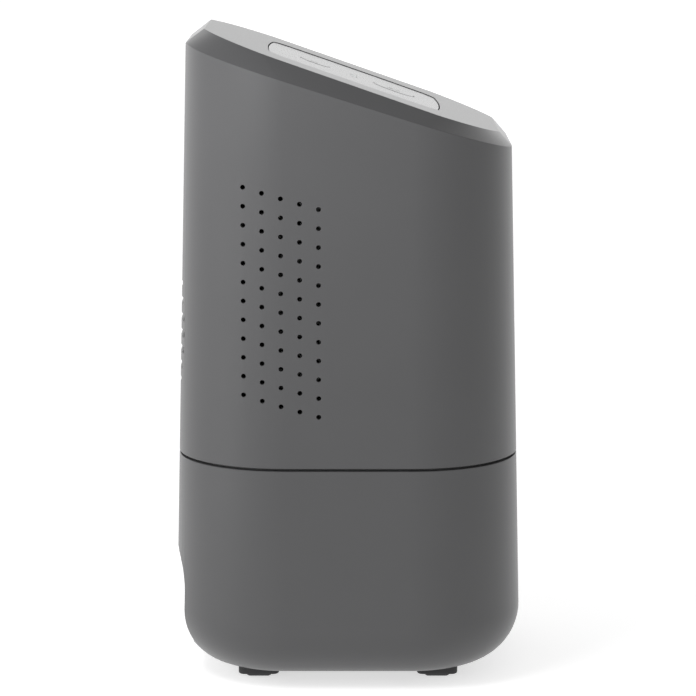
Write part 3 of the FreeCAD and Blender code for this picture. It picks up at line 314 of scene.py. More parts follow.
def bowed_outline(half_x, half_y, radius, side_r, steps=16, flats=6):
    """Outline with four slightly bowed sides and four corner arcs, point for point like corner_outline."""
    side_x = half_x - side_r
    side_y = half_y - side_r
    apart = math.hypot(side_x, side_y)
    step = math.sqrt((side_r - radius) ** 2 - (apart / 2) ** 2)
    corner_x = side_x / 2 - side_y / apart * step
    corner_y = side_y / 2 - side_x / apart * step
    first = math.atan2(corner_y, corner_x - side_x)
    last = math.atan2(corner_y - side_y, corner_x)
    half_turn = math.pi
    arcs = ((first, last), (half_turn - last, half_turn - first), (half_turn + first, half_turn + last),
            (2 * half_turn - last, 2 * half_turn - first), (2 * half_turn + first, 0.0))
    corners = ((corner_x, corner_y), (-corner_x, corner_y), (-corner_x, -corner_y), (corner_x, -corner_y))
    sides = ((0.0, side_y), (-side_x, 0.0), (0.0, -side_y), (side_x, 0.0))
    points = []
    for turn in range(4):
        start, end = arcs[turn]
        points += arc_points(corners[turn], radius, start, end, steps)
        points += arc_points(sides[turn], side_r, end, arcs[turn + 1][0], flats)[1:-1]
    return points


def half_at(z):
    return SEAM_HALF - DRAFT * (z - SEAM_Z)


def wall_ring(height, inset=0.0):
    """Ring on the drafted walls; height is a number, or a rule of y for a sloped rim."""
    rise = height if callable(height) else lambda y: height
    count = len(corner_outline(1.0, 1.0, 0.5))
    levels = [rise(0.0)] * count
    for _ in range(5):
        ring = []
        for i, level in enumerate(levels):
            half = half_at(level) - inset
            x, y = corner_outline(half, half, half - CORNER_AT)[i]
            ring.append(Vector((x, y, level)))
        levels = [rise(p.y) for p in ring]
    return [Vector((p.x, p.y, z)) for p, z in zip(ring, levels)]


def flat_ring(half_x, half_y, radius, z, steps=16, flats=6):
    return [Vector((x, y, z)) for x, y in corner_outline(half_x, half_y, radius, steps, flats)]


def in_top(point):
    """From the top's own frame, about the panel's middle, to the row frame."""
    turned = Matrix.Rotation(TILT, 3, "X") @ Vector(point)
    return turned + Vector((0.0, PANEL_Y, TOP_Z + TOP_SLOPE * PANEL_Y))


def rounded_columns(rings, radii, steps=4):
    """Round the fold at each ring: radii[i] is how far the rounding reaches along the rings on both sides."""
    made = []
    for i, ring in enumerate(rings):
        reach = radii[i]
        if not reach or i in (0, len(rings) - 1):
            made.append(ring)
            continue
        for k in range(steps + 1):
            t = k / steps
            new = []
            for before, at, after in zip(rings[i - 1], ring, rings[i + 1]):
                first = at + (before - at).normalized() * min(reach, 0.45 * (before - at).length)
                last = at + (after - at).normalized() * min(reach, 0.45 * (after - at).length)
                new.append(first * (1 - t) ** 2 + at * (2 * t * (1 - t)) + last * t ** 2)
            made.append(new)
    return made


def loft(name, rings, material, cap_first=False, cap_last=False, closed=False):
    """Skin a chain of rings with quads; closed joins the last ring to the first."""
    count = len(rings[0])
    vertices = [p for ring in rings for p in ring]
    faces = []
    spans = len(rings) if closed else len(rings) - 1
    for r in range(spans):
        a = r * count
        b = ((r + 1) % len(rings)) * count
        for i in range(count):
            j = (i + 1) % count
            faces.append((a + i, a + j, b + j, b + i))
    if cap_first:
        faces.append(tuple(reversed(range(count))))
    if cap_last:
        faces.append(tuple((len(rings) - 1) * count + i for i in range(count)))
    piece = piece_from(name, vertices, faces, material)
    outward(piece)
    return piece


def outward(piece):
    """Merge doubles and point the faces of a closed mesh outwards."""
    work = bmesh.new()
    work.from_mesh(piece.data)
    bmesh.ops.remove_doubles(work, verts=work.verts, dist=1e-6)
    bmesh.ops.recalc_face_normals(work, faces=work.faces)
    work.to_mesh(piece.data)
    work.free()
    return piece


def turned(name, profile, material, centre=(0.0, 0.0), steps=48):
    """Solid of revolution about a vertical axis; profile is (radius, z) from bottom centre to top centre."""
    rings = [[Vector((x, y, z)) for x, y in arc_points(centre, radius, 0.0, 2 * math.pi, steps)[:-1]]
             for radius, z in profile]
    return loft(name, rings, material, cap_first=True, cap_last=True)


def block(name, low, high, material):
    """Plain block used only as a cutter or as a rib inside another piece."""
    xs, ys, zs = zip(low, high)
    vertices = [(x, y, z) for x in xs for y in ys for z in zs]
    faces = [(0, 1, 3, 2), (4, 6, 7, 5), (0, 4, 5, 1), (2, 3, 7, 6), (0, 2, 6, 4), (1, 5, 7, 3)]
    return piece_from(name, vertices, faces, material)


def baked(piece):
    """Turn a piece's modifiers into plain mesh."""
    depsgraph = bpy.context.evaluated_depsgraph_get()
    mesh = bpy.data.meshes.new_from_object(piece.evaluated_get(depsgraph), depsgraph=depsgraph)
    piece.modifiers.clear()
    old = piece.data
    piece.data = mesh
    bpy.data.meshes.remove(old)
    return piece


def subtract(piece, *cutters):
    for cutter in cutters:
        change = piece.modifiers.new("cut", "BOOLEAN")
        change.operation = "DIFFERENCE"
        change.solver = "EXACT"
        change.object = cutter
        baked(piece)
        bpy.data.objects.remove(cutter)
    return piece


def absorb(piece, *others):
    """Join other meshes into a piece, as parts of the same moulding."""
    work = bmesh.new()
    work.from_mesh(piece.data)
    for other in others:
        work.from_mesh(other.data)
        bpy.data.objects.remove(other)
    work.to_mesh(piece.data)
    work.free()
    return piece


def soften(piece, width, angle=40.0, segments=2):
    """Small round on every sharp edge, then normals weighted by face area."""
    bevel = piece.modifiers.new("edges", "BEVEL")
    bevel.width = width * MM
    bevel.segments = segments
    bevel.limit_method = "ANGLE"
    bevel.angle_limit = math.radians(angle)
    bevel.use_clamp_overlap = True
    baked(piece)
    return weigh(piece, angle)


def weigh(piece, angle=40.0):
    piece.data.polygons.foreach_set("use_smooth", [True] * len(piece.data.polygons))
    piece.data.set_sharp_from_angle(angle=math.radians(angle))
    weighted = piece.modifiers.new("normals", "WEIGHTED_NORMAL")
    weighted.keep_sharp = True
    weighted.mode = "FACE_AREA"
    weighted.weight = 50
    return baked(piece)


def settle(piece, body, slot, *nodes):
    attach(piece, body)
    if nodes:
        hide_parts(*nodes)
    return piece


# ================================================================ geometry-node helpers
def new_tree(name, sizes):
    """Node tree with a Geometry input, a Material input and the named sizes."""
    tree = bpy.data.node_groups.new(name, "GeometryNodeTree")
    tree.interface.new_socket(name="Geometry", in_out="INPUT", socket_type="NodeSocketGeometry")
    tree.interface.new_socket(name="Material", in_out="INPUT", socket_type="NodeSocketMaterial")
    for size, value in sizes.items():
        kind = "NodeSocketInt" if isinstance(value, int) else "NodeSocketFloat"
        tree.interface.new_socket(name=size, in_out="INPUT", socket_type=kind)
    tree.interface.new_socket(name="Geometry", in_out="OUTPUT", socket_type="NodeSocketGeometry")
    return tree


def math_node(tree, operation, first, second):
    node = add(tree, "ShaderNodeMath", {"operation": operation})
    for socket, value in zip(node.inputs, (first, second)):
        if isinstance(value, (int, float)):
            socket.default_value = value
        else:
            tree.links.new(value, socket)
    return node.outputs[0]


def run_tree(piece, tree, material, sizes):
    """Run a tree on a piece with these sizes and keep the plain mesh."""
    change = piece.modifiers.new(tree.name, "NODES")
    change.node_group = tree
    for item in tree.interface.items_tree:
        if item.in_out == "INPUT" and item.name in sizes:
            change[item.identifier] = sizes[item.name]
        elif item.in_out == "INPUT" and item.name == "Material":
            change[item.identifier] = material
    return baked(piece)


def close_tree(tree, geometry, material):
    """Every tree ends in Realize Instances and Set Material."""
    real = add(tree, "GeometryNodeRealizeInstances", None, Geometry=geometry)
    painted = add(tree, "GeometryNodeSetMaterial", None, Geometry=real.outputs["Geometry"], Material=material)
    out = tree.nodes.new("NodeGroupOutput")
    tree.links.new(painted.outputs["Geometry"], out.inputs["Geometry"])


def vent_tree(sizes):
    """Bores a staggered grid of round holes along X through a shell."""
    tree = new_tree("vent_grid", sizes)
    given = tree.nodes.new("NodeGroupInput").outputs
    total = math_node(tree, "MULTIPLY", given["Columns"], given["Rows"])
    line = add(tree, "GeometryNodeMeshLine", None, Count=total)
    index = add(tree, "GeometryNodeInputIndex").outputs[0]
    column = math_node(tree, "FLOOR", math_node(tree, "DIVIDE", index, given["Rows"]), 0.0)
    row = math_node(tree, "MODULO", index, given["Rows"])
    y = math_node(tree, "SUBTRACT", given["Rear Y"], math_node(tree, "MULTIPLY", column, given["Pitch Y"]))
    fall = math_node(tree, "ADD", math_node(tree, "MULTIPLY", row, given["Pitch Z"]),
                     math_node(tree, "MULTIPLY", column, given["Drop"]))
    z = math_node(tree, "SUBTRACT", given["Top Z"], fall)
    place = add(tree, "ShaderNodeCombineXYZ", None, Y=y, Z=z)
    spread = add(tree, "GeometryNodeSetPosition", None, Geometry=line.outputs["Mesh"],
                 Position=place.outputs["Vector"])
    drill = add(tree, "GeometryNodeMeshCylinder", {"Vertices": 28}, Radius=given["Hole Radius"],
                Depth=given["Reach"])
    drills = add(tree, "GeometryNodeInstanceOnPoints", {"Rotation": (0.0, math.pi / 2, 0.0)},
                 Points=spread.outputs["Geometry"], Instance=drill.outputs["Mesh"])
    solid = add(tree, "GeometryNodeRealizeInstances", None, Geometry=drills.outputs["Instances"])
    bored = add(tree, "GeometryNodeMeshBoolean", {"operation": "DIFFERENCE", "solver": "EXACT"})
    tree.links.new(given["Geometry"], bored.inputs["Mesh 1"])
    tree.links.new(solid.outputs["Geometry"], bored.inputs["Mesh 2"])
    close_tree(tree, bored.outputs["Mesh"], given["Material"])
    return tree


def slot_tree(sizes):
    """Cuts level slots along Y, each as long as the round outline allows at its height."""
    tree = new_tree("grille_slots", sizes)
    given = tree.nodes.new("NodeGroupInput").outputs
    line = add(tree, "GeometryNodeMeshLine", None, Count=given["Slots"])
    index = add(tree, "GeometryNodeInputIndex").outputs[0]
    middle = math_node(tree, "DIVIDE", math_node(tree, "SUBTRACT", given["Slots"], 1.0), 2.0)
    lift = math_node(tree, "MULTIPLY", math_node(tree, "SUBTRACT", index, middle), given["Pitch"])
    outline = math_node(tree, "MULTIPLY", given["Outline Radius"], given["Outline Radius"])
    square = math_node(tree, "SUBTRACT", outline, math_node(tree, "MULTIPLY", lift, lift))
    half = math_node(tree, "SQRT", square, 0.0)
    height = math_node(tree, "ADD", given["Middle Z"], lift)
    cuts = []
    for side in (-1.0, 0.0, 1.0):
        x = math_node(tree, "MULTIPLY", half, side)
        place = add(tree, "ShaderNodeCombineXYZ", None, X=x, Y=given["Depth Y"], Z=height)
        spread = add(tree, "GeometryNodeSetPosition", None, Geometry=line.outputs["Mesh"],
                     Position=place.outputs["Vector"])
        if side:
            tool = add(tree, "GeometryNodeMeshCylinder", {"Vertices": 24}, Radius=given["Slot Radius"],
                       Depth=given["Depth"]).outputs["Mesh"]
            cutters = add(tree, "GeometryNodeInstanceOnPoints", {"Rotation": (math.pi / 2, 0.0, 0.0)},
                          Points=spread.outputs["Geometry"], Instance=tool)
        else:
            wide = math_node(tree, "MULTIPLY", half, 2.0)
            tall = math_node(tree, "MULTIPLY", given["Slot Radius"], 2.0)
            size = add(tree, "ShaderNodeCombineXYZ", None, X=wide, Y=given["Depth"], Z=tall)
            tool = add(tree, "GeometryNodeMeshCube", {"Size": (1.0, 1.0, 1.0)}).outputs["Mesh"]
            cutters = add(tree, "GeometryNodeInstanceOnPoints", None, Points=spread.outputs["Geometry"],
                          Instance=tool, Scale=size.outputs["Vector"])
        cuts.append(add(tree, "GeometryNodeRealizeInstances", None, Geometry=cutters.outputs["Instances"]))
    shell = given["Geometry"]
    for cut in (cuts[1], cuts[0], cuts[2]):
        opened = add(tree, "GeometryNodeMeshBoolean", {"operation": "DIFFERENCE", "solver": "EXACT"})
        tree.links.new(shell, opened.inputs["Mesh 1"])
        tree.links.new(cut.outputs["Geometry"], opened.inputs["Mesh 2"])
        shell = opened.outputs["Mesh"]
    close_tree(tree, shell, given["Material"])
    return tree


# ================================================================ housing
def brow_ring(step, drop):
    """Edge of the flat top, drawn in plan and lifted onto the sloped plane."""
    outline = corner_outline(TOP_HALF_X - step, TOP_HALF_Y - step, TOP_CORNER_R - step,
                             arc_r=TOP_CORNER_ARC - step)
    return [Vector((x, y + TOP_MID_Y, TOP_Z + TOP_SLOPE * (y + TOP_MID_Y) - drop)) for x, y in outline]


def panel_outline(grow):
    return bowed_outline(PANEL_HALF_X + grow, PANEL_HALF_Y + grow, PANEL_R + grow, PANEL_SIDE_R + grow)


def well_ring(grow, depth):
    """Ring in the frame of the top, round the panel."""
    return [in_top((x, y, -depth)) for x, y in panel_outline(grow)]


def upper_shell():
    rim = wall_ring(lambda y: SHOULDER_Z + SHOULDER_SLOPE * y)
    inner_rim = wall_ring(lambda y: SHOULDER_Z - SHOULDER_SHARE * WALL + SHOULDER_SLOPE * y, WALL)
    well_bottom = PANEL_SUNK + PANEL_T
    tongue_z = UPPER_RIM_Z - LIP_DEPTH
    thick = WALL / math.cos(TILT)
    rings = [
        wall_ring(UPPER_RIM_Z, WALL + LIP_GAP),
        wall_ring(UPPER_RIM_Z), rim, brow_ring(0.0, 0.0),
        well_ring(PANEL_GAP, 0.0), well_ring(PANEL_GAP, well_bottom), well_ring(-LEDGE, well_bottom),
        well_ring(-LEDGE, well_bottom + LEDGE_T), well_ring(2.0, well_bottom + LEDGE_T), well_ring(2.0, WALL),
        brow_ring(BEVEL_SHARE * WALL, thick), inner_rim, wall_ring(UPPER_RIM_Z + 3.0, WALL),
        wall_ring(UPPER_RIM_Z + 2.0, WALL + LIP_GAP + LIP_WALL),
        wall_ring(tongue_z, WALL + LIP_GAP + LIP_WALL), wall_ring(tongue_z, WALL + LIP_GAP),
    ]
    radii = [0.0, 0.35, 0.3, 0.25, 0.3, 0.0, 0.0, 0.0, 0.0, 0.0, 0.0, 0.0, 0.0, 0.0, 0.3, 0.3]
    shell = loft("upper_shell", rounded_columns(rings, radii), ABS, closed=True)
    vents = {"Columns": VENT_COLUMNS, "Rows": VENT_ROWS, "Rear Y": VENT_Y * MM, "Top Z": VENT_Z * MM,
             "Pitch Y": VENT_PITCH_Y * MM, "Pitch Z": VENT_PITCH_Z * MM, "Drop": VENT_DROP * MM,
             "Hole Radius": VENT_R * MM, "Reach": 3.0 * SEAM_HALF * MM}
    run_tree(shell, vent_tree(vents), ABS, vents)
    rear_wall = half_at(FAN_MID.z)
    slots = {"Slots": GRILLE_SLOTS, "Pitch": GRILLE_PITCH * MM, "Outline Radius": GRILLE_R * MM,
             "Slot Radius": GRILLE_SLOT_R * MM, "Middle Z": FAN_MID.z * MM,
             "Depth Y": (rear_wall - SLOT_CUT_IN) * MM, "Depth": SLOT_CUT_L * MM}
    run_tree(shell, slot_tree(slots), ABS, slots)
    soften(shell, 0.18, 50.0)
    dress_walls(shell)
    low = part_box("upper_housing")[0].z / MM
    high = low + TOWER_L
    tower = [(PILOT_R - 1.0, low), (POST_R - POST_EDGE, low), (POST_R, low + POST_EDGE),
             (POST_R, high - POST_EDGE), (POST_R - POST_EDGE, high), (PILOT_R - 1.0, high)]
    towers = []
    for sx in (-1, 1):
        for sy in (-1, 1):
            place = (sx * POST_X, sy * POST_Y)
            towers.append(turned("tower", tower, ABS, place, 32))
            reach = sorted((sx * (POST_X + POST_R - 0.5), sx * (half_at(SEAM_Z) - 1.0)))
            towers.append(block("rib", (reach[0], place[1] - RIB_HALF, UPPER_RIM_Z + RIB_RISE),
                                (reach[1], place[1] + RIB_HALF, low + TOWER_L), ABS))
    absorb(shell, *towers)
    return settle(shell, "housing", "housing_abs", "upper_housing")


def dress_walls(piece):
    """Give faces on the drafted walls the normals of the true walls, so that holes leave no smears."""
    mesh = piece.data
    normals = [Vector(n.vector) for n in mesh.corner_normals]
    lean = math.atan(DRAFT)
    for face in mesh.polygons:
        if abs(face.normal.z) > 0.35:
            continue
        for index in face.loop_indices:
            spot = mesh.vertices[mesh.loops[index].vertex_index].co / MM
            dx = max(abs(spot.x) - CORNER_AT, 0.0)
            dy = max(abs(spot.y) - CORNER_AT, 0.0)
            reach = math.hypot(dx, dy)
            wall = half_at(spot.z) - CORNER_AT
            if reach < 1.0 or abs(reach - wall) > 0.02:
                continue
            flat = Vector((math.copysign(dx, spot.x), math.copysign(dy, spot.y), 0.0)).normalized()
            true = (flat * math.cos(lean) + Vector((0.0, 0.0, math.sin(lean)))).normalized()
            if true.dot(face.normal) > 0.7:
                normals[index] = true
    mesh.normals_split_custom_set(normals)


def fold_ring(turn, inset):
    """Ring on the rounding between the walls and the underside; turn goes from 0 at the wall to 90 degrees."""
    radius = BOTTOM_R - inset
    z = BOTTOM_Z + inset + radius * (1 - math.sin(math.radians(turn)))
    pull = inset + radius * (1 - math.cos(math.radians(turn)))
    half = half_at(z) - pull
    return [Vector((x, y, z)) for x, y in corner_outline(half, half, half - CORNER_AT)]


def mouth_cutter(y0, y1):
    """Arched block for the tank's mouth: square foot, two round top corners."""
    spring = MOUTH_TOP - MOUTH_R
    outline = [(-MOUTH_HALF, FLOOR_Z), (MOUTH_HALF, FLOOR_Z)]
    outline += arc_points((MOUTH_HALF - MOUTH_R, spring), MOUTH_R, 0.0, math.pi / 2, 16)
    outline += arc_points((MOUTH_R - MOUTH_HALF, spring), MOUTH_R, math.pi / 2, math.pi, 16)
    rings = [[Vector((x, y, z)) for x, z in outline] for y in (y0, y1)]
    return loft("mouth", rings, ABS, cap_first=True, cap_last=True)


def base_shell():
    turns = [90.0 * i / 14 for i in range(15)]
    outer = [fold_ring(t, 0.0) for t in reversed(turns)]
    inner = [fold_ring(t, WALL) for t in turns]
    rings = outer + [wall_ring(BASE_RIM_Z), wall_ring(BASE_RIM_Z, WALL)] + inner
    radii = [0.0] * len(outer) + [0.35, 0.35] + [0.0] * len(inner)
    shell = loft("base_shell", rounded_columns(rings, radii), ABS, cap_first=True, cap_last=True)
    subtract(shell, mouth_cutter(MOUTH_Y, SEAM_HALF + 5.0))
    drills = []
    for sx in (-1, 1):
        for sy in (-1, 1):
            drills.append(turned("well", [(SCREW_WELL_R, -5.0), (SCREW_WELL_R, FLOOR_Z + 1.0)], ABS,
                                 (sx * POST_X, sy * POST_Y), 32))
    socket = turned("socket", [(JACK_HOLE_R, 0.0), (JACK_HOLE_R, JACK_HOLE_L)], ABS, (0.0, 0.0), 40)
    upright = Matrix.Rotation(-math.pi / 2, 4, "X")
    socket.data.transform(Matrix.Translation((0.0, JACK_HOLE_Y * MM, JACK_Z * MM)) @ upright)
    subtract(shell, socket, *drills)
    soften(shell, 0.3, 50.0)
    dress_walls(shell)
    towers = []
    for sx in (-1, 1):
        for sy in (-1, 1):
            place = (sx * POST_X, sy * POST_Y)
            rings = [(SCREW_WELL_R, FLOOR_Z - 1.0), (POST_R, FLOOR_Z - 1.0), (POST_R, DECK_Z - POST_EDGE),
                     (POST_R - POST_EDGE, DECK_Z), (PILOT_R, DECK_Z), (PILOT_R, WELL_TOP),
                     (SCREW_WELL_R, WELL_TOP)]
            tower = [[Vector((x, y, z)) for x, y in arc_points(place, radius, 0.0, 2 * math.pi, 32)[:-1]]
                     for radius, z in rings]
            towers.append(loft("tower", tower, ABS, closed=True))
        rail = sorted((sx * (MOUTH_HALF - 0.2), sx * (MOUTH_HALF - 0.2 + RAIL_W)))
        towers.append(block("rail", (rail[0], RAIL_YS[0], FLOOR_Z - 0.5),
                            (rail[1], RAIL_YS[1], FLOOR_Z + RAIL_H), ABS))
    towers.append(block("stop", (-STOP_HALF, STOP_YS[0], FLOOR_Z - 0.5),
                        (STOP_HALF, STOP_YS[1], FLOOR_Z + STOP_H), ABS))
    absorb(shell, *towers)
    return settle(shell, "housing", "housing_abs", "base_housing")


def feet():
    """Square feet: a pad on the floor, a step, and a wide collar with a rounded lower edge."""
    top = BOTTOM_Z + 1.2
    steps = [(PAD_HALF - 0.25, 0.0), (PAD_HALF, 0.25), (PAD_HALF + PAD_SPREAD, FOOT_STEP_Z)]
    for i in range(7):
        turn = math.radians(15.0 * i)
        steps.append((FOOT_HALF - FOOT_EDGE_R * (1 - math.sin(turn)),
                      FOOT_STEP_Z + FOOT_EDGE_R * (1 - math.cos(turn))))
    steps.append((FOOT_HALF, top))
    made = []
    for sx in (-1, 1):
        for sy in (-1, 1):
            rings = []
            for half, z in steps:
                corner = FOOT_CORNER_R + half - FOOT_HALF if half > PAD_HALF + PAD_SPREAD else PAD_CORNER_R
                rings.append([Vector((x + sx * FOOT_AT, y + sy * FOOT_AT, z))
                              for x, y in corner_outline(half, half, corner, 8, 3)])
            made.append(loft("foot", rings, TPE, True, True))
    group = absorb(made[0], *made[1:])
    group.name = "rubber_feet"
    weigh(group, 35.0)
    return settle(group, "housing", "rubber_black", "feet")


# ================================================================ control panel
def to_top(piece):
    """Lay a piece that was drawn about the origin into the plane of the top."""
    piece.data.transform(Matrix.Translation(in_top((0, 0, 0)) * MM) @ Matrix.Rotation(TILT, 4, "X"))
    return piece


def insert_panel():
    low = -PANEL_SUNK - PANEL_T
    rings = [[Vector((x, y, z)) for x, y in panel_outline(grow)]
             for grow, z in ((0.0, low), (0.0, -PANEL_SUNK), (2.0 - PANEL_R, -PANEL_SUNK))]
    panel = loft("insert_panel", rounded_columns(rings, [0.0, 0.3, 0.0]), ABS_POLISHED_PAINTED_HIGHLIGHT, True, True)
    for radius, y in ((POWER_KEY_R, POWER_KEY_Y), (MODE_KEY_R, MODE_KEY_Y)):
        hole = radius + KEY_GAP
        subtract(panel, turned("hole", [(hole, -10.0), (hole, 5.0)], ABS_POLISHED_PAINTED_HIGHLIGHT, (0.0, y), 64))
    slot = [flat_ring(LENS_HALF_X, LENS_HALF_Y, LENS_HALF_Y - 0.01, z, 10, 2) for z in (-10.0, 5.0)]
    subtract(panel, loft("slot", slot, ABS_POLISHED_PAINTED_HIGHLIGHT, True, True))
    soften(panel, 0.12, 50.0)
    to_top(panel)
    return settle(panel, "housing", "panel_gloss", "control_panel")


def key(name, radius, y, body, node):
    """Key cap with a barely dished top, its flange and plunger."""
    top = KEY_PROUD - PANEL_SUNK
    under = -PANEL_SUNK - PANEL_T - KEY_UNDER
    low = under - KEY_FLANGE_T
    profile = [(PLUNGER_R, low - PLUNGER_L), (PLUNGER_R, low), (radius + KEY_FLANGE, low),
               (radius + KEY_FLANGE, under), (radius, under), (radius, top - 0.3), (radius - 0.09, top - 0.09),
               (radius - 0.3, top), (radius * 0.7, top - KEY_DISH / 2), (radius * 0.4, top - KEY_DISH),
               (radius * 0.1, top - KEY_DISH)]
    cap = turned(name, profile, ABS_KEY_PAINTED_HIGHLIGHT, (0.0, y), 64)
    weigh(cap, 35.0)
    to_top(cap)
    return settle(cap, body, "key_plastic", node)


def ribbon(name, path, width, z, y, body):
    """Flat printed stroke along a path of (x, y) pairs, as a thin closed plate."""
    rings = []
    for i, (px, py) in enumerate(path):
        ax, ay = path[max(i - 1, 0)]
        bx, by = path[min(i + 1, len(path) - 1)]
        along = Vector((bx - ax, by - ay, 0.0)).normalized()
        side = Vector((-along.y, along.x, 0.0)) * (width / 2)
        spot = Vector((px, py + y, z))
        rings.append([spot - side, spot + side, spot + side + INK_LIFT, spot - side + INK_LIFT])
    stroke = loft(name, rings, INK, True, True)
    to_top(stroke)
    return settle(stroke, body, "lens")


def key_prints():
    """Plain standby sign on the large key and a crescent on the small one."""
    dish = KEY_PROUD - PANEL_SUNK - KEY_DISH
    arc = [(2.3 * math.sin(math.radians(a)), 2.3 * math.cos(math.radians(a))) for a in range(40, 321, 14)]
    ribbon("standby_arc", arc, 0.5, dish, POWER_KEY_Y, "power_key")
    ribbon("standby_bar", [(0.0, 0.9), (0.0, 3.0)], 0.5, dish + 0.01, POWER_KEY_Y, "power_key")
    outer = [(1.9 * math.cos(math.radians(a)), 1.9 * math.sin(math.radians(a))) for a in range(60, 301, 15)]
    inner = [(0.85 + 1.75 * math.cos(math.radians(a)), 1.55 * math.sin(math.radians(a)))
             for a in range(285, 74, -15)]
    low = dish + 0.01
    rings = [[Vector((x, y + MODE_KEY_Y, z)) for x, y in outer + inner] for z in (low, low + INK_LIFT.z)]
    crescent = loft("sleep_crescent", rings, INK, True, True)
    to_top(crescent)
    settle(crescent, "mode_key", "lens")


def light_pipe():
    low = -PANEL_SUNK - PANEL_T - LENS_DEPTH
    gap = 0.06
    rings = [flat_ring(LENS_HALF_X - gap, LENS_HALF_Y - gap, LENS_HALF_Y - gap - 0.01, z, 10, 2)
             for z in (low, -PANEL_SUNK)]
    rings.append(flat_ring(LENS_HALF_X - 0.5, LENS_HALF_Y - 0.5, LENS_HALF_Y - 0.51, -PANEL_SUNK + 0.05, 10, 2))
    pipe = loft("light_pipe", rings, FROSTED, True, True)
    weigh(pipe, 35.0)
    to_top(pipe)
    return settle(pipe, "housing", "lens", "indicator_lens")


# ================================================================ carried-over CAD pieces
def refined(node, material, width=0.25, angle=35.0):
    """Copy of a CAD node with its triangles merged, its edges softened and its own finish."""
    source = frame["nodes"][node]
    body = source["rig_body"]
    slot = next(s["material_slot"] for s in frame["record"]["subparts"] if s["node"] == node)
    mesh = source.data.copy()
    piece = bpy.data.objects.new(node + "_fine", mesh)
    bpy.context.scene.collection.objects.link(piece)
    mesh.materials.clear()
    mesh.materials.append(material)
    work = bmesh.new()
    work.from_mesh(mesh)
    bmesh.ops.remove_doubles(work, verts=work.verts, dist=2e-6)
    bmesh.ops.dissolve_limit(work, angle_limit=math.radians(1.0), verts=work.verts, edges=work.edges)
    work.to_mesh(mesh)
    work.free()
    if width:
        soften(piece, width, angle)
    else:
        weigh(piece, angle)
    return settle(piece, body, slot, node)


FINISHES = {
    "water_tank": (SMOKE_SAN, 0.35), "tank_lid": (POLYPROPYLENE, 0.25), "tank_float": (FLOAT_FOAM, 0.0),
    "float_magnet": (FERRITE, 0.2), "machine_deck": (PBT, 0.25), "drip_tray": (POLYPROPYLENE, 0.25),
    "air_shroud": (POLYPROPYLENE, 0.25), "hot_sink": (ALUMINIUM, 0.12), "cold_sink": (ALUMINIUM, 0.12),
    "peltier_module": (ALUMINA, 0.1), "cooler_gasket": (EVA_FOAM, 0.3), "fan_frame": (PBT, 0.4),
    "fan_bearing": (BRASS, 0.15), "motor_stator": (COPPER, 0.2), "fan_impeller": (PBT, 0.2),
    "rotor_magnet": (FERRITE, 0.1), "fan_shaft": (ZINC_STEEL, 0.15), "fan_screws": (ZINC_STEEL, 0.12),
    "housing_screws": (ZINC_STEEL, 0.12), "clamp_screws": (ZINC_STEEL, 0.12),
    "button_board_screws": (ZINC_STEEL, 0.1), "main_board": (BOARD, 0.15), "button_board": (BOARD, 0.15),
    "level_board": (BOARD, 0.15), "capacitors": (PBT, 0.3), "terminal_blocks": (NYLON, 0.3),
    "power_transistor": (ALUMINIUM, 0.1), "button_switches": (PBT, 0.15), "status_leds": (FROSTED, 0.1),
    "reed_switch": (CLEAR_GLASS, 0.3), "dc_jack": (PBT, 0.25), "jack_pin": (BRASS, 0.25),
    "jack_leads": (SLEEVE, 0.0), "fan_lead": (SLEEVE, 0.0), "cooler_leads": (SLEEVE, 0.0),
    "panel_cable": (SLEEVE, 0.0),
}


# ================================================================ studio
# Radiance of the surrounding soft light: overhead, round the horizon, and behind the object.
SKY_ZENITH = 0.5
SKY_HORIZON = 0.92
SKY_BEHIND = 1.75
SKY_BAND = (0.1, 0.85)
SKY_REAR = (0.3, 0.85)


def studio():
    scene = bpy.context.scene
    scene.view_settings.view_transform = "Standard"
    size = 6.0
    floor = piece_from("studio_floor", [(-size, -size, 0), (size, -size, 0), (size, size, 0), (-size, size, 0)],
                       [(0, 1, 2, 3)], studio_paper(), 1.0)
    world = bpy.data.worlds.new("studio")
    world.use_nodes = True
    scene.world = world
    tree = world.node_tree
    ray = add(tree, "ShaderNodeTexCoord").outputs["Generated"]
    sky = add(tree, "ShaderNodeSeparateXYZ", None, Vector=ray)
    rear = add(tree, "ShaderNodeMapRange", {"interpolation_type": "SMOOTHSTEP", "From Min": SKY_REAR[0],
                                            "From Max": SKY_REAR[1]}, Value=sky.outputs["X"])
    low_sky = add(tree, "ShaderNodeMapRange", {"interpolation_type": "SMOOTHSTEP", "From Min": SKY_BAND[0],
                                               "From Max": SKY_BAND[1], "To Min": 1.0, "To Max": 0.0},
                  Value=sky.outputs["Z"])
    glow = math_node(tree, "ADD", math_node(tree, "MULTIPLY", rear.outputs["Result"], SKY_BEHIND - SKY_HORIZON),
                     SKY_HORIZON - SKY_ZENITH)
    light = math_node(tree, "ADD", math_node(tree, "MULTIPLY", glow, low_sky.outputs["Result"]), SKY_ZENITH)
    background = tree.nodes["Background"]
    background.inputs["Color"].default_value = (1.0, 1.0, 1.0, 1.0)
    tree.links.new(light, background.inputs["Strength"])
    lamp("key_softbox", (-0.3, 0.55, 0.22), (0.0, 0.0, 0.13), (0.3, 0.5), 1.9)
    lamp("upper_softbox", (-0.2, 0.12, 0.29), (-0.066, 0.03, 0.2), (0.12, 0.12), 0.45)


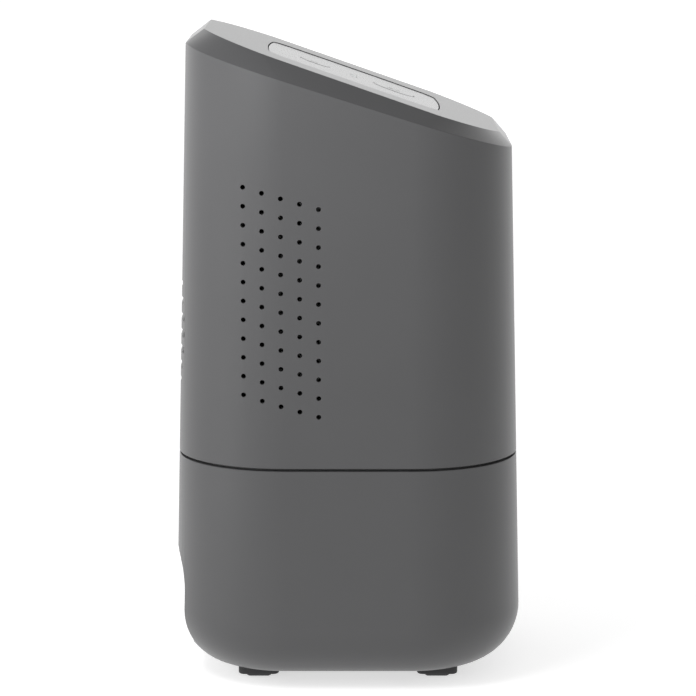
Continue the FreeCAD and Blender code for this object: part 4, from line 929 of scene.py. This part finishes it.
def studio_paper():
    """Seamless white paper."""
    material = bpy.data.materials.new("seamless_paper_white")
    material.use_nodes = True
    tree = material.node_tree
    tree.nodes.clear()
    out = add(tree, "ShaderNodeOutputMaterial")
    shader = add(tree, "ShaderNodeBsdfPrincipled", {"Roughness": 0.9, "Base Color": (0.62, 0.62, 0.62, 1.0),
                                                        "Emission Color": (1.0, 1.0, 1.0, 1.0),
                                                        "Emission Strength": 0.62})
    place = add(tree, "ShaderNodeTexCoord").outputs["Object"]
    fibre = add(tree, "ShaderNodeTexNoise", {"Scale": 900.0, "Detail": 2.0}, Vector=place)
    bump = add(tree, "ShaderNodeBump", {"Strength": 0.2, "Distance": 0.00005}, Height=fibre.outputs["Fac"])
    tree.links.new(bump.outputs["Normal"], shader.inputs["Normal"])
    tree.links.new(shader.outputs["BSDF"], out.inputs["Surface"])
    return material


def lamp(name, place, target, size, power):
    data = bpy.data.lights.new(name, "AREA")
    data.shape = "RECTANGLE"
    data.size, data.size_y = size
    data.energy = power
    light = bpy.data.objects.new(name, data)
    bpy.context.scene.collection.objects.link(light)
    light.location = place
    light.visible_glossy = False
    light.visible_camera = False
    light.rotation_euler = (Vector(target) - Vector(place)).to_track_quat("-Z", "Y").to_euler()


def camera():
    """Eye level a little above the top, square on to the side wall."""
    data = bpy.data.cameras.new("camera")
    data.sensor_width = 36.0
    data.lens = 156.7
    eye = bpy.data.objects.new("camera", data)
    bpy.context.scene.collection.objects.link(eye)
    eye.location = (-1.220, 0.0, 0.3319)
    eye.rotation_euler = (math.radians(90.0 - 9.54), 0.0, math.radians(-90.0))
    data.clip_start, data.clip_end = 0.05, 50.0
    bpy.context.scene.camera = eye


camera()
studio()
upper_shell()
base_shell()
feet()
insert_panel()
key("power_key_cap", POWER_KEY_R, POWER_KEY_Y, "power_key", "power_button")
key("mode_key_cap", MODE_KEY_R, MODE_KEY_Y, "mode_key", "mode_button")
key_prints()
light_pipe()
for node, (material, width) in FINISHES.items():
    refined(node, material, width)
